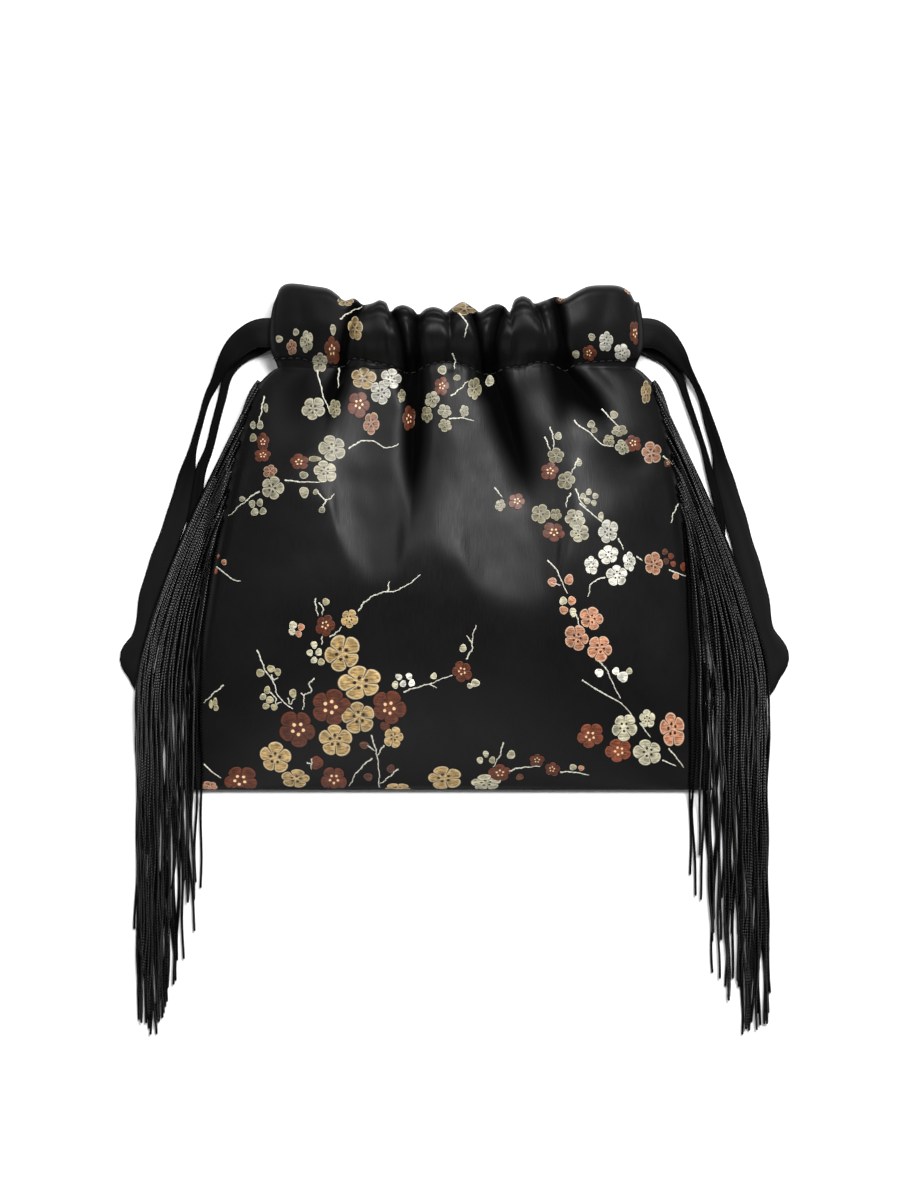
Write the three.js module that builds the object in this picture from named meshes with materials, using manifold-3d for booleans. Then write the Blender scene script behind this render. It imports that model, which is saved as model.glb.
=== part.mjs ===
import * as THREE from 'three';
import Module from 'manifold-3d';

// A small drawstring pouch of black brocade, lying on its back as it would be put down on a table.
// Units are millimetres. +Z is up, +Y runs from the closed bottom edge to the gathered mouth, and +X
// is to the right in a view from above. The origin lies on the table, under the middle of the pouch
// and its fringes.

const wasm = await Module();
wasm.setup();
const { lerp, smoothstep, clamp } = THREE.MathUtils;

// Cloth and clearances
const CLOTH = 1.2; // one layer of brocade with its seam allowance
const STEEP_CLOTH = 1.68; // the same layer measured upright on the slope of a pleat
const GAP = 0.3; // between pieces that touch

// Outline of the pouch, seen from above
const BOTTOM_Y = -59;
const STITCH_Y = 130; // the row of stitches under the casing
const MOUTH_Y = 160.5; // top fold of the casing where it is gathered
const EAR_RISE = 8.5; // the flat ends of the casing stand this much higher
const EAR_START = 0.58; // where an ear starts and is full, as shares of the half width
const EAR_FULL = 0.67;
const EAR_CORNER = 2.5; // how far an ear's outer corner is rounded down
const NECK_HALF = 82.5;
const BOTTOM_HALF = 119.5;
const FLARE = 0.52; // how quickly the sides spread below the neck
const NECK_CENTRE_X = 0.9;
const BOTTOM_CENTRE_X = -3.8;

// Heights above the table
const SEAM_STACK = 2 * CLOTH + GAP; // the two layers at the bottom seam
const TAPE = 1; // tape of the fringe, caught between the layers of a side seam
const TAPED_STACK = SEAM_STACK + TAPE + GAP;
const SIDE_EDGE = 10; // top of the side seam beside the belly
const NECK_EDGE = 8.2; // and just under the casing
const NECK_STACK = 4 * CLOTH + 2 * GAP; // folded hems of both panels
const BELLY_TOP = 39;
const BELLY_Y = 50; // where the cloth swells highest
const NECK_TOP = 30;
const CASING_PUFF = 1.5;
const CASING_SPACE = 3.4; // room for two straps on top of each other
const CASING_THICK = CASING_SPACE + 2 * CLOTH;
const EAR_TOP = 2 * CASING_THICK + 2 * GAP;
const MOUTH_LIFT = 15.7; // underside of the front casing at the middle of the mouth
const MOUTH_RIPPLE = 0.8;
const RIPPLE_PITCH = 27;

// A flat seam allowance runs round the sides and the bottom
const FLANGE_SHARE = 0.975;
const FLANGE_Y = -56;
const DOME_POWER = 2.6;
const DOME_ROUND = 0.85;
const BACK_LIFT_START = 0.84; // where the back leaves the table on its way up to the side seam

// How far below the stitches the swell of the belly starts, in lobes across the front
const REACH = 45;
const LOBES = [
  { x: -32, width: 21, more: 46 },
  { x: 26, width: 27, more: 61 },
  { x: 78, width: 20, more: 13 },
];

// Valleys between the gathers: place at the stitches, half width, depth, length and sideways drift
const FOLD_SPREAD = 1.3; // a valley widens by this share towards its foot
const DEEPEST_FOLD = 7;
const FOLDS = [
  { x: -52.5, width: 4.6, depth: 6.5, length: 34, drift: -8 },
  { x: -29, width: 3.2, depth: 2.4, length: 14, drift: 0 },
  { x: -18.5, width: 4.6, depth: DEEPEST_FOLD, length: 68, drift: 0 },
  { x: -3, width: 3.4, depth: 2.6, length: 14, drift: 0 },
  { x: 16.5, width: 5.4, depth: DEEPEST_FOLD, length: 66, drift: 15 },
  { x: 29, width: 3.2, depth: 2.2, length: 14, drift: 0 },
  { x: 49, width: 4.8, depth: DEEPEST_FOLD, length: 52, drift: 24 },
];

// Sections of the cloth: rows up the panel, then shares of the casing's height
const BODY_ROWS = [BOTTOM_Y, FLANGE_Y, -47, -34, -16, 5, 26, 47, 67, 86, 103, 117, 126, STITCH_Y];
const CASING_ROWS = [0.14, 0.25, 0.5, 0.75, 0.9];
const TUNNEL_ROWS = [0.14, 0.25, 0.5, 0.75, 0.86];
const HEM_SHARE = 0.25; // the casing is fully open from this share upwards
const NOSE_START = 0.8; // the top fold rounds off from this share upwards
const FRONT_COLUMNS = 42;
const BACK_COLUMNS = 22;
const TUNNEL_OVERRUN = 3;

// Straps
const STRAP_THICK = 1;
const CASING_WIDTH = 12.5; // width of the strap inside the casing
const STRAP_Y = 146.2; // its middle line there
const CASING_STOPS = [0.85, 0.6, 0.3, 0, -0.3, -0.6, -0.8, -0.9, -0.97, -1]; // from the far end to the mouth
const LAYERS = { low: 0.28, high: 0.72 }; // places of the two straps in the height of the casing
const STRAP_STEPS = 80;

// The free loop of each strap, from the front casing's end round to the back casing's end
const LEFT_LOOP = [
  { x: -89, y: 145.6, z: 8.6, width: 12.5 },
  { x: -95.8, y: 141.8, z: 6.8, width: 11.5 },
  { x: -101.2, y: 136, z: 5.2, width: 8.5 },
  { x: -104.7, y: 130.8, z: 3.9, width: 5.8 },
  { x: -107.2, y: 125, z: 2.3, width: 4.4 },
  { x: -111.2, y: 117, z: 0.9, width: 3.3 },
  { x: -114.2, y: 106.6, z: 0.9, width: 3.1 },
  { x: -117.6, y: 94.5, z: 0.9, width: 3.9 },
  { x: -120, y: 84, z: 0.9, width: 6.4 },
  { x: -124.4, y: 66, z: 0.9, width: 9 },
  { x: -130.4, y: 47.5, z: 0.9, width: 10.6 },
  { x: -136, y: 28.5, z: 0.9, width: 11 },
  { x: -140.2, y: 9, z: 0.9, width: 10.4 },
  { x: -144.2, y: 0.4, z: 0.9, width: 13.2 },
  { x: -141.3, y: -6.4, z: 0.9, width: 11.2 },
  { x: -138, y: -12.6, z: 0.9, width: 10.6 },
  { x: -132.6, y: -16.2, z: 0.9, width: 11 },
  { x: -126.5, y: -12.5, z: 0.9, width: 11 },
  { x: -123, y: -0.7, z: 0.9, width: 11 },
  { x: -120.4, y: 24, z: 0.9, width: 10.8 },
  { x: -118, y: 48, z: 0.9, width: 9 },
  { x: -116.4, y: 66, z: 0.9, width: 5.6 },
  { x: -114.2, y: 84, z: 0.9, width: 4.4 },
  { x: -110.3, y: 94.5, z: 0.9, width: 4 },
  { x: -107.3, y: 106.6, z: 0.9, width: 3.6 },
  { x: -104.4, y: 117.6, z: 0.9, width: 4 },
  { x: -102.4, y: 126, z: 0.9, width: 4.2 },
  { x: -99.6, y: 132, z: 0.9, width: 6.4 },
  { x: -95, y: 138, z: 1.2, width: 9.6 },
  { x: -89, y: 142.6, z: 1.7, width: 12.5 },
];
const RIGHT_LOOP = [
  { x: 89.6, y: 145.6, z: 7.8, width: 12.5 },
  { x: 95, y: 142.4, z: 6.4, width: 11.5 },
  { x: 100.2, y: 136.6, z: 4.9, width: 8.2 },
  { x: 104, y: 130.6, z: 3.8, width: 5 },
  { x: 107.2, y: 125.4, z: 2.6, width: 3.3 },
  { x: 111, y: 117.4, z: 0.9, width: 3.2 },
  { x: 114.3, y: 106.8, z: 0.9, width: 4.8 },
  { x: 118.2, y: 94, z: 0.9, width: 5.8 },
  { x: 120.6, y: 83, z: 0.9, width: 7.8 },
  { x: 126.2, y: 63.5, z: 0.9, width: 9.4 },
  { x: 130.8, y: 46.5, z: 0.9, width: 10.6 },
  { x: 135.4, y: 29, z: 0.9, width: 11 },
  { x: 139, y: 12, z: 0.9, width: 10.4 },
  { x: 144, y: 0.4, z: 0.9, width: 13.4 },
  { x: 141.2, y: -6.6, z: 0.9, width: 11.4 },
  { x: 138, y: -12.6, z: 0.9, width: 10.6 },
  { x: 132.6, y: -16.2, z: 0.9, width: 11 },
  { x: 126.5, y: -12.5, z: 0.9, width: 11 },
  { x: 122.8, y: -0.7, z: 0.9, width: 11 },
  { x: 120.4, y: 24, z: 0.9, width: 9 },
  { x: 119.6, y: 48, z: 0.9, width: 5 },
  { x: 119.4, y: 64, z: 0.9, width: 3.2 },
  { x: 114.8, y: 83, z: 0.9, width: 3 },
  { x: 111.9, y: 94.6, z: 0.9, width: 2.8 },
  { x: 107.9, y: 106.6, z: 0.9, width: 2.8 },
  { x: 104.4, y: 116.8, z: 0.9, width: 3.2 },
  { x: 101.4, y: 125.6, z: 0.9, width: 4 },
  { x: 98.4, y: 131.4, z: 0.9, width: 6.2 },
  { x: 94.6, y: 136.8, z: 1.4, width: 9.4 },
  { x: 89.2, y: 142.4, z: 2.6, width: 12.5 },
];

// Fringes
const LOCKS = 8;
const LOCK_THICK = 2.6;
const LOCK_WIDTH = { head: 1.2, tip: 2.2 };
const LOCK_FILL = 0.9; // share of the fringe's width that its locks take up
const HEAD_TOP_Y = 124;
const HEAD_FOOT_Y = 66; // the lowest lock leaves the seam here
const TAPE_FOOT_Y = -16;
const HEAD_OUT = 1.5; // the locks leave the heading this far outside the seam
const HEAD_LIFT = 1.7; // and this far above it
const FAN_Y = -19; // the locks have fanned out here and run on straight
const FAN_TURN = 42;
const FAN_STEPS = 8;
const RUN_ROWS = [-30, -41, -51, -60, -66]; // rows over the lower edge of the pouch
const STEEPEST_DROP = 0.3;
const STRAP_TOP = 1.6; // height of the strap that the fringe lies on
const STRAP_FOOT_Y = -34;
const SHORT_END_Y = -108;
const LONG_END_Y = -169;
const FRINGES = {
  left: { side: -1, inner: -113, outer: -142.1 },
  right: { side: 1, inner: 106, outer: 141.7 },
};

// Shared shapes

// A closed body through rings of points; cap lists the triangles that close the first and last ring.
function loft(rings, cap) {
  const size = rings[0].length;
  const vertices = rings.flat();
  const triangles = [];
  for (let r = 0; r + 1 < rings.length; r += 1) {
    for (let i = 0; i < size; i += 1) {
      const a = r * size + i;
      const b = r * size + ((i + 1) % size);
      triangles.push([a, b, a + size], [b, b + size, a + size]);
    }
  }
  const last = (rings.length - 1) * size;
  for (const [a, b, c] of cap) {
    triangles.push([a, c, b], [last + a, last + b, last + c]);
  }
  return bodyOf(vertices, triangles);
}

// The solid of a closed mesh, with its faces turned outwards.
function bodyOf(vertices, triangles) {
  let volume = 0;
  for (const [a, b, c] of triangles) {
    volume += vertices[a].dot(new THREE.Vector3().crossVectors(vertices[b], vertices[c]));
  }
  const turned = volume < 0 ? triangles.map(([a, b, c]) => [a, c, b]) : triangles;
  return new wasm.Manifold(
    new wasm.Mesh({
      numProp: 3,
      vertProperties: new Float32Array(vertices.flatMap((p) => p.toArray())),
      triVerts: new Uint32Array(turned.flat()),
    }),
  );
}

function named(name, body, look) {
  const mesh = body.getMesh();
  const geometry = new THREE.BufferGeometry();
  geometry.setAttribute('position', new THREE.BufferAttribute(mesh.vertProperties, 3));
  geometry.setIndex(new THREE.BufferAttribute(mesh.triVerts, 1));
  geometry.computeVertexNormals();
  const made = new THREE.Mesh(geometry, new THREE.MeshStandardMaterial(look));
  made.name = name;
  return made;
}

// Outline and heights of the cloth

function centreX(y) {
  const up = clamp((y - BOTTOM_Y) / (STITCH_Y - BOTTOM_Y), 0, 1);
  return lerp(BOTTOM_CENTRE_X, NECK_CENTRE_X, up);
}

function halfWidth(y) {
  const down = clamp((STITCH_Y - y) / (STITCH_Y - BOTTOM_Y), 0, 1);
  return NECK_HALF + (BOTTOM_HALF - NECK_HALF) * down ** FLARE;
}

// 1 across the middle of a panel, falling to 0 at its seam allowance
function dome(share) {
  const across = clamp(Math.abs(share) / FLANGE_SHARE, 0, 1);
  return (1 - across ** DOME_POWER) ** DOME_ROUND;
}

// Top of the front's side edge
function frontEdge(y) {
  const up = lerp(SEAM_STACK, SIDE_EDGE, smoothstep(y, FLANGE_Y, 0));
  return up - (SIDE_EDGE - NECK_EDGE) * smoothstep(y, 98, STITCH_Y - 4);
}

// How far the back's underside lies below the front's top along the side seam
function seamStack(y) {
  const taped = lerp(SEAM_STACK, TAPED_STACK, smoothstep(y, TAPE_FOOT_Y - 20, TAPE_FOOT_Y));
  return lerp(taped, NECK_STACK, smoothstep(y, STITCH_Y - 12, STITCH_Y - 1));
}

// Height along the middle of the front
function crest(y) {
  if (y <= FLANGE_Y) {
    return SEAM_STACK;
  }
  if (y < BELLY_Y) {
    const up = (y - FLANGE_Y) / (BELLY_Y - FLANGE_Y);
    return lerp(SEAM_STACK, BELLY_TOP, Math.sin((Math.PI / 2) * up) ** DOME_ROUND);
  }
  const toNeck = clamp((y - BELLY_Y) / (STITCH_Y - BELLY_Y), 0, 1);
  return lerp(BELLY_TOP, NECK_TOP, 0.5 - 0.5 * Math.cos(Math.PI * toNeck));
}

// The place on the middle line that has the same height: the swell starts lower under the lobes
function swellY(x, y) {
  if (y <= FLANGE_Y || y >= STITCH_Y) {
    return y;
  }
  const bump = (lobe) => lobe.more * Math.exp(-(((x - lobe.x) / lobe.width) ** 2));
  const reach = LOBES.reduce((sum, lobe) => sum + bump(lobe), REACH);
  const fullY = STITCH_Y - reach;
  if (y > fullY) {
    return lerp(STITCH_Y, BELLY_Y, (STITCH_Y - y) / reach);
  }
  return lerp(FLANGE_Y, BELLY_Y, (y - FLANGE_Y) / (fullY - FLANGE_Y));
}

function foldDepth(x, y) {
  let sum = 0;
  for (const fold of FOLDS) {
    const down = Math.max(0, (STITCH_Y - y) / fold.length);
    if (down < 1) {
      const off = (x - fold.x - fold.drift * down) / (fold.width * (1 + FOLD_SPREAD * down));
      sum += fold.depth * (1 - down) ** 2 * (1 + 2 * down) * Math.exp(-(off ** 2));
    }
  }
  return Math.min(sum, DEEPEST_FOLD);
}

function frontZ(x, y) {
  const edge = frontEdge(y);
  const share = (x - centreX(y)) / halfWidth(y);
  return edge + dome(share) * (crest(swellY(x, y)) - edge - foldDepth(x, y));
}

function backZ(share, y) {
  return (frontEdge(y) - seamStack(y)) * smoothstep(Math.abs(share), BACK_LIFT_START, FLANGE_SHARE);
}

function ripple(x) {
  return MOUTH_RIPPLE * (0.5 + 0.5 * Math.cos((2 * Math.PI * x) / RIPPLE_PITCH));
}

function topY(share) {
  const ear = EAR_RISE * smoothstep(Math.abs(share), EAR_START, EAR_FULL);
  const corner = EAR_CORNER * smoothstep(Math.abs(share), 0.955, 1);
  const pleat = share * NECK_HALF + NECK_CENTRE_X;
  return MOUTH_Y + ear - corner - 0.35 * foldDepth(pleat, STITCH_Y) * (1 - ear / EAR_RISE);
}

// Front casing at a share of its height: its outer face and the face towards the mouth
function frontCasing(x, share, up) {
  const open = smoothstep(up, 0, HEM_SHARE);
  const edge = lerp(NECK_EDGE, EAR_TOP, open);
  const over = dome(share);
  const top = NECK_TOP + CASING_PUFF * Math.sin(Math.PI * up) - foldDepth(x, STITCH_Y);
  const outer = edge + over * (top - edge);
  const lifted = lerp(CASING_THICK + 2 * GAP, MOUTH_LIFT - ripple(x), over);
  const inner = lerp(frontZ(x, STITCH_Y) - 2 * CLOTH, lifted, open);
  return { outer, inner };
}

function backCasing(x, share, up) {
  const open = smoothstep(up, 0, HEM_SHARE);
  const hem = backZ(share, STITCH_Y);
  const outer = lerp(hem, 0, open);
  const inner = lerp(hem + 2 * CLOTH, CASING_THICK + dome(share) * ripple(x), open);
  return { outer, inner };
}

// The top fold closes the two faces of a casing in a round nose
function rounded(faces, up) {
  const nose = Math.sqrt(1 - clamp((up - NOSE_START) / (1 - NOSE_START), 0, 1) ** 2);
  const middle = (faces.outer + faces.inner) / 2;
  const half = ((faces.outer - faces.inner) / 2) * nose;
  return { outer: middle + half, inner: middle - half, middle };
}

// Panels

function shares(count) {
  const step = (2 * FLANGE_SHARE) / (count - 2);
  const between = Array.from({ length: count - 1 }, (_, i) => i * step - FLANGE_SHARE);
  return [-1, ...between, 1];
}

// A ring up the outer face, over the top fold and down the inner face
function clothRing(outer, tip, inner) {
  return [...outer, tip, ...inner.toReversed()];
}

// Triangles that close a ring of cloth between its two faces, with or without a tip
function clothCap(rows, tips) {
  const size = 2 * rows + tips;
  const cap = [];
  for (let j = 0; j + 1 < rows; j += 1) {
    cap.push([j, j + 1, size - 2 - j], [j, size - 2 - j, size - 1 - j]);
  }
  if (tips) {
    cap.push([rows - 1, rows, rows + 1]);
  }
  return cap;
}

function at(x, y, z) {
  return new THREE.Vector3(x, y, z);
}

// One layer of cloth below a point of the front, measured square to its slope
function underFront(x, y) {
  const step = 0.4;
  const share = (x - centreX(y)) / halfWidth(y);
  const top = at(x, y, frontZ(x, y));
  if (Math.abs(share) > FLANGE_SHARE - 0.002 || y <= FLANGE_Y) {
    return top.sub(at(0, 0, CLOTH));
  }
  const slopeX = (frontZ(x + step, y) - frontZ(x - step, y)) / (2 * step);
  const slopeY = (frontZ(x, y + step) - frontZ(x, y - step)) / (2 * step);
  return top.sub(at(-slopeX, -slopeY, 1).normalize().multiplyScalar(CLOTH));
}

function casingRows(share, rows, casing, drop) {
  const x = NECK_CENTRE_X + share * NECK_HALF;
  return rows.map((up) => {
    const faces = rounded(casing(x, share, up), up);
    return { x, y: lerp(STITCH_Y, topY(share) - drop, up), ...faces };
  });
}

function panel(columns, casing, drop, outerAt, innerAt) {
  const rings = shares(columns).map((share) => {
    const body = BODY_ROWS.map((y) => [centreX(y) + share * halfWidth(y), y]);
    const hem = body.pop();
    const neck = casing(hem[0], share, 0);
    const tube = casingRows(share, CASING_ROWS, casing, drop);
    const [tip] = casingRows(share, [1], casing, drop);
    const outer = [
      ...body.map(([x, y]) => outerAt(x, y, share)),
      at(...hem, neck.outer),
      ...tube.map((row) => at(row.x, row.y, row.outer)),
    ];
    const inner = [
      ...body.map(([x, y]) => innerAt(x, y, share)),
      at(...hem, neck.inner),
      ...tube.map((row) => at(row.x, row.y, row.inner)),
    ];
    return clothRing(outer, at(tip.x, tip.y, tip.middle), inner);
  });
  const cloth = loft(rings, clothCap(BODY_ROWS.length + CASING_ROWS.length, 1));
  return cloth.subtract(tunnel(columns, casing, drop));
}

// The space inside a casing, run on past both its ends
function tunnel(columns, casing, drop) {
  const inside = shares(columns).map((share) => casingRows(share, TUNNEL_ROWS, casing, drop));
  const past = (rows, by) => rows.map((row) => ({ ...row, x: row.x + by }));
  const sections = [past(inside[0], -TUNNEL_OVERRUN), ...inside, past(inside.at(-1), TUNNEL_OVERRUN)];
  const rings = sections.map((rows) => {
    const wall = (row) => (row.outer > row.inner ? STEEP_CLOTH : -CLOTH);
    const outer = rows.map((row) => at(row.x, row.y, row.outer - wall(row)));
    const inner = rows.map((row) => at(row.x, row.y, row.inner + wall(row)));
    return [...outer, ...inner.toReversed()];
  });
  return loft(rings, clothCap(TUNNEL_ROWS.length, 0));
}

function frontPanel() {
  const outerAt = (x, y) => at(x, y, frontZ(x, y));
  return panel(FRONT_COLUMNS, frontCasing, 0, outerAt, underFront);
}

function backPanel() {
  const outerAt = (x, y, share) => at(x, y, backZ(share, y));
  const innerAt = (x, y, share) => at(x, y, backZ(share, y) + CLOTH);
  return panel(BACK_COLUMNS, backCasing, 1.5, outerAt, innerAt);
}

// Straps

// Height of a strap in the front or back casing; layer is its place in the height of the space
function strapZ(share, casing, layer) {
  const place = lerp(layer, 0.5, smoothstep(Math.abs(share), 0.85, 0.97));
  if (casing === backCasing) {
    return CLOTH + CASING_SPACE * place;
  }
  const over = dome(share);
  const floor = lerp(CASING_THICK + 2 * GAP, MOUTH_LIFT, over) + STEEP_CLOTH;
  const roof = lerp(EAR_TOP, NECK_TOP - DEEPEST_FOLD, over) - STEEP_CLOTH;
  return lerp(floor, roof, place);
}

function strap(side, loop, frontLayer, backLayer) {
  const run = (casing, layer) =>
    CASING_STOPS.map((stop) => ({
      x: NECK_CENTRE_X - side * stop * NECK_HALF,
      y: STRAP_Y,
      z: strapZ(stop, casing, layer),
      width: CASING_WIDTH,
    }));
  const route = [...run(frontCasing, frontLayer), ...loop, ...run(backCasing, backLayer).toReversed()];
  const curve = new THREE.CatmullRomCurve3(route.map((p) => at(p.x, p.y, p.z)), false, 'centripetal');
  const rings = [];
  for (let i = 0; i <= STRAP_STEPS; i += 1) {
    const along = i / STRAP_STEPS;
    const place = along * (route.length - 1);
    const before = Math.min(Math.floor(place), route.length - 2);
    const width = lerp(route[before].width, route[before + 1].width, place - before);
    const middle = curve.getPoint(along);
    const ahead = curve.getTangent(along);
    const across = at(-ahead.y, ahead.x, 0).normalize().multiplyScalar(width / 2);
    const up = at(0, 0, STRAP_THICK / 2);
    rings.push([
      middle.clone().sub(across).sub(up),
      middle.clone().add(across).sub(up),
      middle.clone().add(across).add(up),
      middle.clone().sub(across).add(up),
    ]);
  }
  return loft(rings, [[0, 1, 2], [0, 2, 3]]);
}

// Fringes

function sideX(side, y) {
  return centreX(y) + side * halfWidth(y);
}

// The tape caught in the side seam, with the corded heading that stands up outside it
function heading(side) {
  const rows = [HEAD_TOP_Y, 117, 103, 86, 67, HEAD_FOOT_Y - 3, HEAD_FOOT_Y - 9, 47, 26, 5, TAPE_FOOT_Y];
  const rings = rows.map((y) => {
    const edge = frontEdge(y);
    const x = sideX(side, y);
    const top = edge - CLOTH - GAP;
    const low = top - TAPE;
    const roll = lerp(top + 0.2, edge + HEAD_LIFT + 0.6, smoothstep(y, HEAD_FOOT_Y - 9, HEAD_FOOT_Y - 3));
    const inside = x - side * 2.2;
    const shoulder = x + side * GAP;
    const outside = x + side * 2.6;
    return [
      at(inside, y, low),
      at(outside, y, low),
      at(outside, y, roll),
      at(shoulder, y, roll),
      at(shoulder, y, top),
      at(inside, y, top),
    ];
  });
  return loft(rings, [[0, 1, 4], [0, 4, 5], [1, 2, 3], [1, 3, 4]]);
}

// Height of what a lock lies on: the front of the pouch, the strap beside it, or the table
function restUnder(side, x, y) {
  const outside = STRAP_TOP * smoothstep(y, STRAP_FOOT_Y - 10, STRAP_FOOT_Y);
  if (y < BOTTOM_Y - 1) {
    return outside;
  }
  const past = side * (x - sideX(side, y));
  return past > GAP ? outside : frontZ(x, Math.max(y, BOTTOM_Y));
}

function endY(share) {
  const grown = lerp(SHORT_END_Y, LONG_END_Y, smoothstep(share, 0.08, 0.74));
  return grown + 6 * smoothstep(share, 0.85, 1);
}

function lock({ side, inner, outer }, share) {
  const startY = lerp(HEAD_FOOT_Y, HEAD_TOP_Y - 1.5, share);
  const start = at(sideX(side, startY) + side * HEAD_OUT, startY, 0);
  const fanX = lerp(inner, outer, share);
  const fan = new THREE.QuadraticBezierCurve3(start, at(fanX, FAN_Y + FAN_TURN, 0), at(fanX, FAN_Y, 0));
  const runRows = [...RUN_ROWS, lerp(RUN_ROWS.at(-1), endY(share), 0.6), endY(share)];
  const line = [...fan.getSpacedPoints(FAN_STEPS), ...runRows.map((y) => at(fanX, y, 0))];
  const widest = (LOCK_FILL * Math.abs(outer - inner)) / (LOCKS - 1);
  const widthAt = (i) => {
    const full = lerp(LOCK_WIDTH.head, widest, smoothstep(i, 0, FAN_STEPS));
    return lerp(full, LOCK_WIDTH.tip, smoothstep(i, line.length - 3, line.length - 1));
  };
  line.forEach((p, i) => {
    const reach = widthAt(i) / 2 + GAP;
    const under = [-1, 0, 1].flatMap((step) =>
      [-3, 0, 3].map((along) => restUnder(side, p.x + step * reach, p.y + along)),
    );
    p.z = Math.max(...under) + GAP + LOCK_THICK / 2;
    if (i === 0) {
      p.z = frontEdge(startY) + HEAD_LIFT;
    } else {
      p.z = Math.max(p.z, line[i - 1].z - STEEPEST_DROP * p.distanceTo(line[i - 1]));
    }
  });
  const rings = line.map((p, i) => {
    const ahead = line[Math.min(i + 1, line.length - 1)].clone().sub(line[Math.max(i - 1, 0)]);
    const across = at(-ahead.y, ahead.x, 0).normalize();
    const wide = widthAt(i) / 2;
    const tall = LOCK_THICK / 2;
    const corner = (w, t) => p.clone().addScaledVector(across, w * wide).add(at(0, 0, t * tall));
    return [corner(-1, 0), corner(-0.5, -1), corner(0.5, -1), corner(1, 0), corner(0.5, 1), corner(-0.5, 1)];
  });
  return loft(rings, [[0, 1, 2], [0, 2, 3], [0, 3, 4], [0, 4, 5]]);
}

function fringe(form) {
  let body = heading(form.side);
  for (let i = 0; i < LOCKS; i += 1) {
    body = body.add(lock(form, i / (LOCKS - 1)));
  }
  return body;
}

// The pouch

const BROCADE = { color: 0x1c1c1f, roughness: 0.42, metalness: 0 };
const SATIN = { color: 0x141416, roughness: 0.45, metalness: 0 };
const CORD = { color: 0x0d0d0e, roughness: 0.7, metalness: 0 };

const pouch = new THREE.Group();
pouch.add(named('front_panel', frontPanel(), BROCADE));
pouch.add(named('back_panel', backPanel(), BROCADE));
pouch.add(named('drawstring_left', strap(-1, LEFT_LOOP, LAYERS.high, LAYERS.low), SATIN));
pouch.add(named('drawstring_right', strap(1, RIGHT_LOOP, LAYERS.low, LAYERS.high), SATIN));
pouch.add(named('fringe_left', fringe(FRINGES.left), CORD));
pouch.add(named('fringe_right', fringe(FRINGES.right), CORD));

export default pouch;
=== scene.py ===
# %% [markdown]
# # A drawstring pouch of black plum-blossom brocade
# The real pouch is two pieces of black satin brocade sewn together, with a cord fringe caught in each side
# seam and a flat strap drawn through a casing at the mouth. It lies on its back, so the camera looks straight
# down. A solid model with the same sizes already exists. This lesson loads it as a fixed frame and dresses it
# piece by piece. All sizes below are real millimetres, in the frame of the solids: +Y towards the mouth and
# +Z up.

# %% Load the solid model
import math

import bpy
import numpy as np
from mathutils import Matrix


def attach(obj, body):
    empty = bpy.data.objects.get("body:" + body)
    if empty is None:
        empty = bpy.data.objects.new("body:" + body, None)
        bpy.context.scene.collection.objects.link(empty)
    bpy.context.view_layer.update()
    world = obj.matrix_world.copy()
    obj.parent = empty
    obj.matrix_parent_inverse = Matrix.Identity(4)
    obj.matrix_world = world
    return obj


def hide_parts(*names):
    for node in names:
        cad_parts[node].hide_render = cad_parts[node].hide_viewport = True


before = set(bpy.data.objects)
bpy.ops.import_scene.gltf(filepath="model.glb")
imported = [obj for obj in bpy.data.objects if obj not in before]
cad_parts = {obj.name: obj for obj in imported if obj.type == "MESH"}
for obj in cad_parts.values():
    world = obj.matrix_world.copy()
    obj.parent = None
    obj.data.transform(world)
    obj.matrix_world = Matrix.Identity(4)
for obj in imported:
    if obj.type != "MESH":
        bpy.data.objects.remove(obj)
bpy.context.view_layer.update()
MM = 0.001
print("solids to dress:", ", ".join(sorted(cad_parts)))

# %% [markdown]
# ## Camera
# The photograph looks straight down from far away, because the sides of the pouch don't show. A long lens
# high above the table gives that view. A flat camera without perspective could do it too, but a real lens
# keeps other views natural.

# %% Camera over the table
MM_PER_PIXEL = 0.45
PHOTO_SIZE = (900, 1200)
ORIGIN_PIXEL = (454.5, 658.5)
CAMERA_HEIGHT = 2000
SENSOR = 36


def from_photo(px, py):
    """Where a pixel of the photograph lies on the table, in millimetres."""
    return (px - ORIGIN_PIXEL[0]) * MM_PER_PIXEL, (ORIGIN_PIXEL[1] - py) * MM_PER_PIXEL


lens = bpy.data.cameras.new("camera")
lens.sensor_fit = "VERTICAL"
lens.sensor_height = SENSOR
lens.lens = SENSOR * CAMERA_HEIGHT / (PHOTO_SIZE[1] * MM_PER_PIXEL)
camera = bpy.data.objects.new("camera", lens)
centre_x, centre_y = from_photo(PHOTO_SIZE[0] / 2, PHOTO_SIZE[1] / 2)
camera.location = (centre_x * MM, centre_y * MM, CAMERA_HEIGHT * MM)
bpy.context.scene.collection.objects.link(camera)
bpy.context.scene.camera = camera
print("camera lens", round(lens.lens, 1), "mm")

# %% [markdown]
# ## Helpers
# Every cloth piece here is a grid of points: rows one way, columns the other. Blender's own primitives could
# start a piece, but points worked out in code can follow a measured outline. One helper turns points and
# faces into an object, another numbers the faces of a grid, and a few more blend numbers and draw curves.


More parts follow.
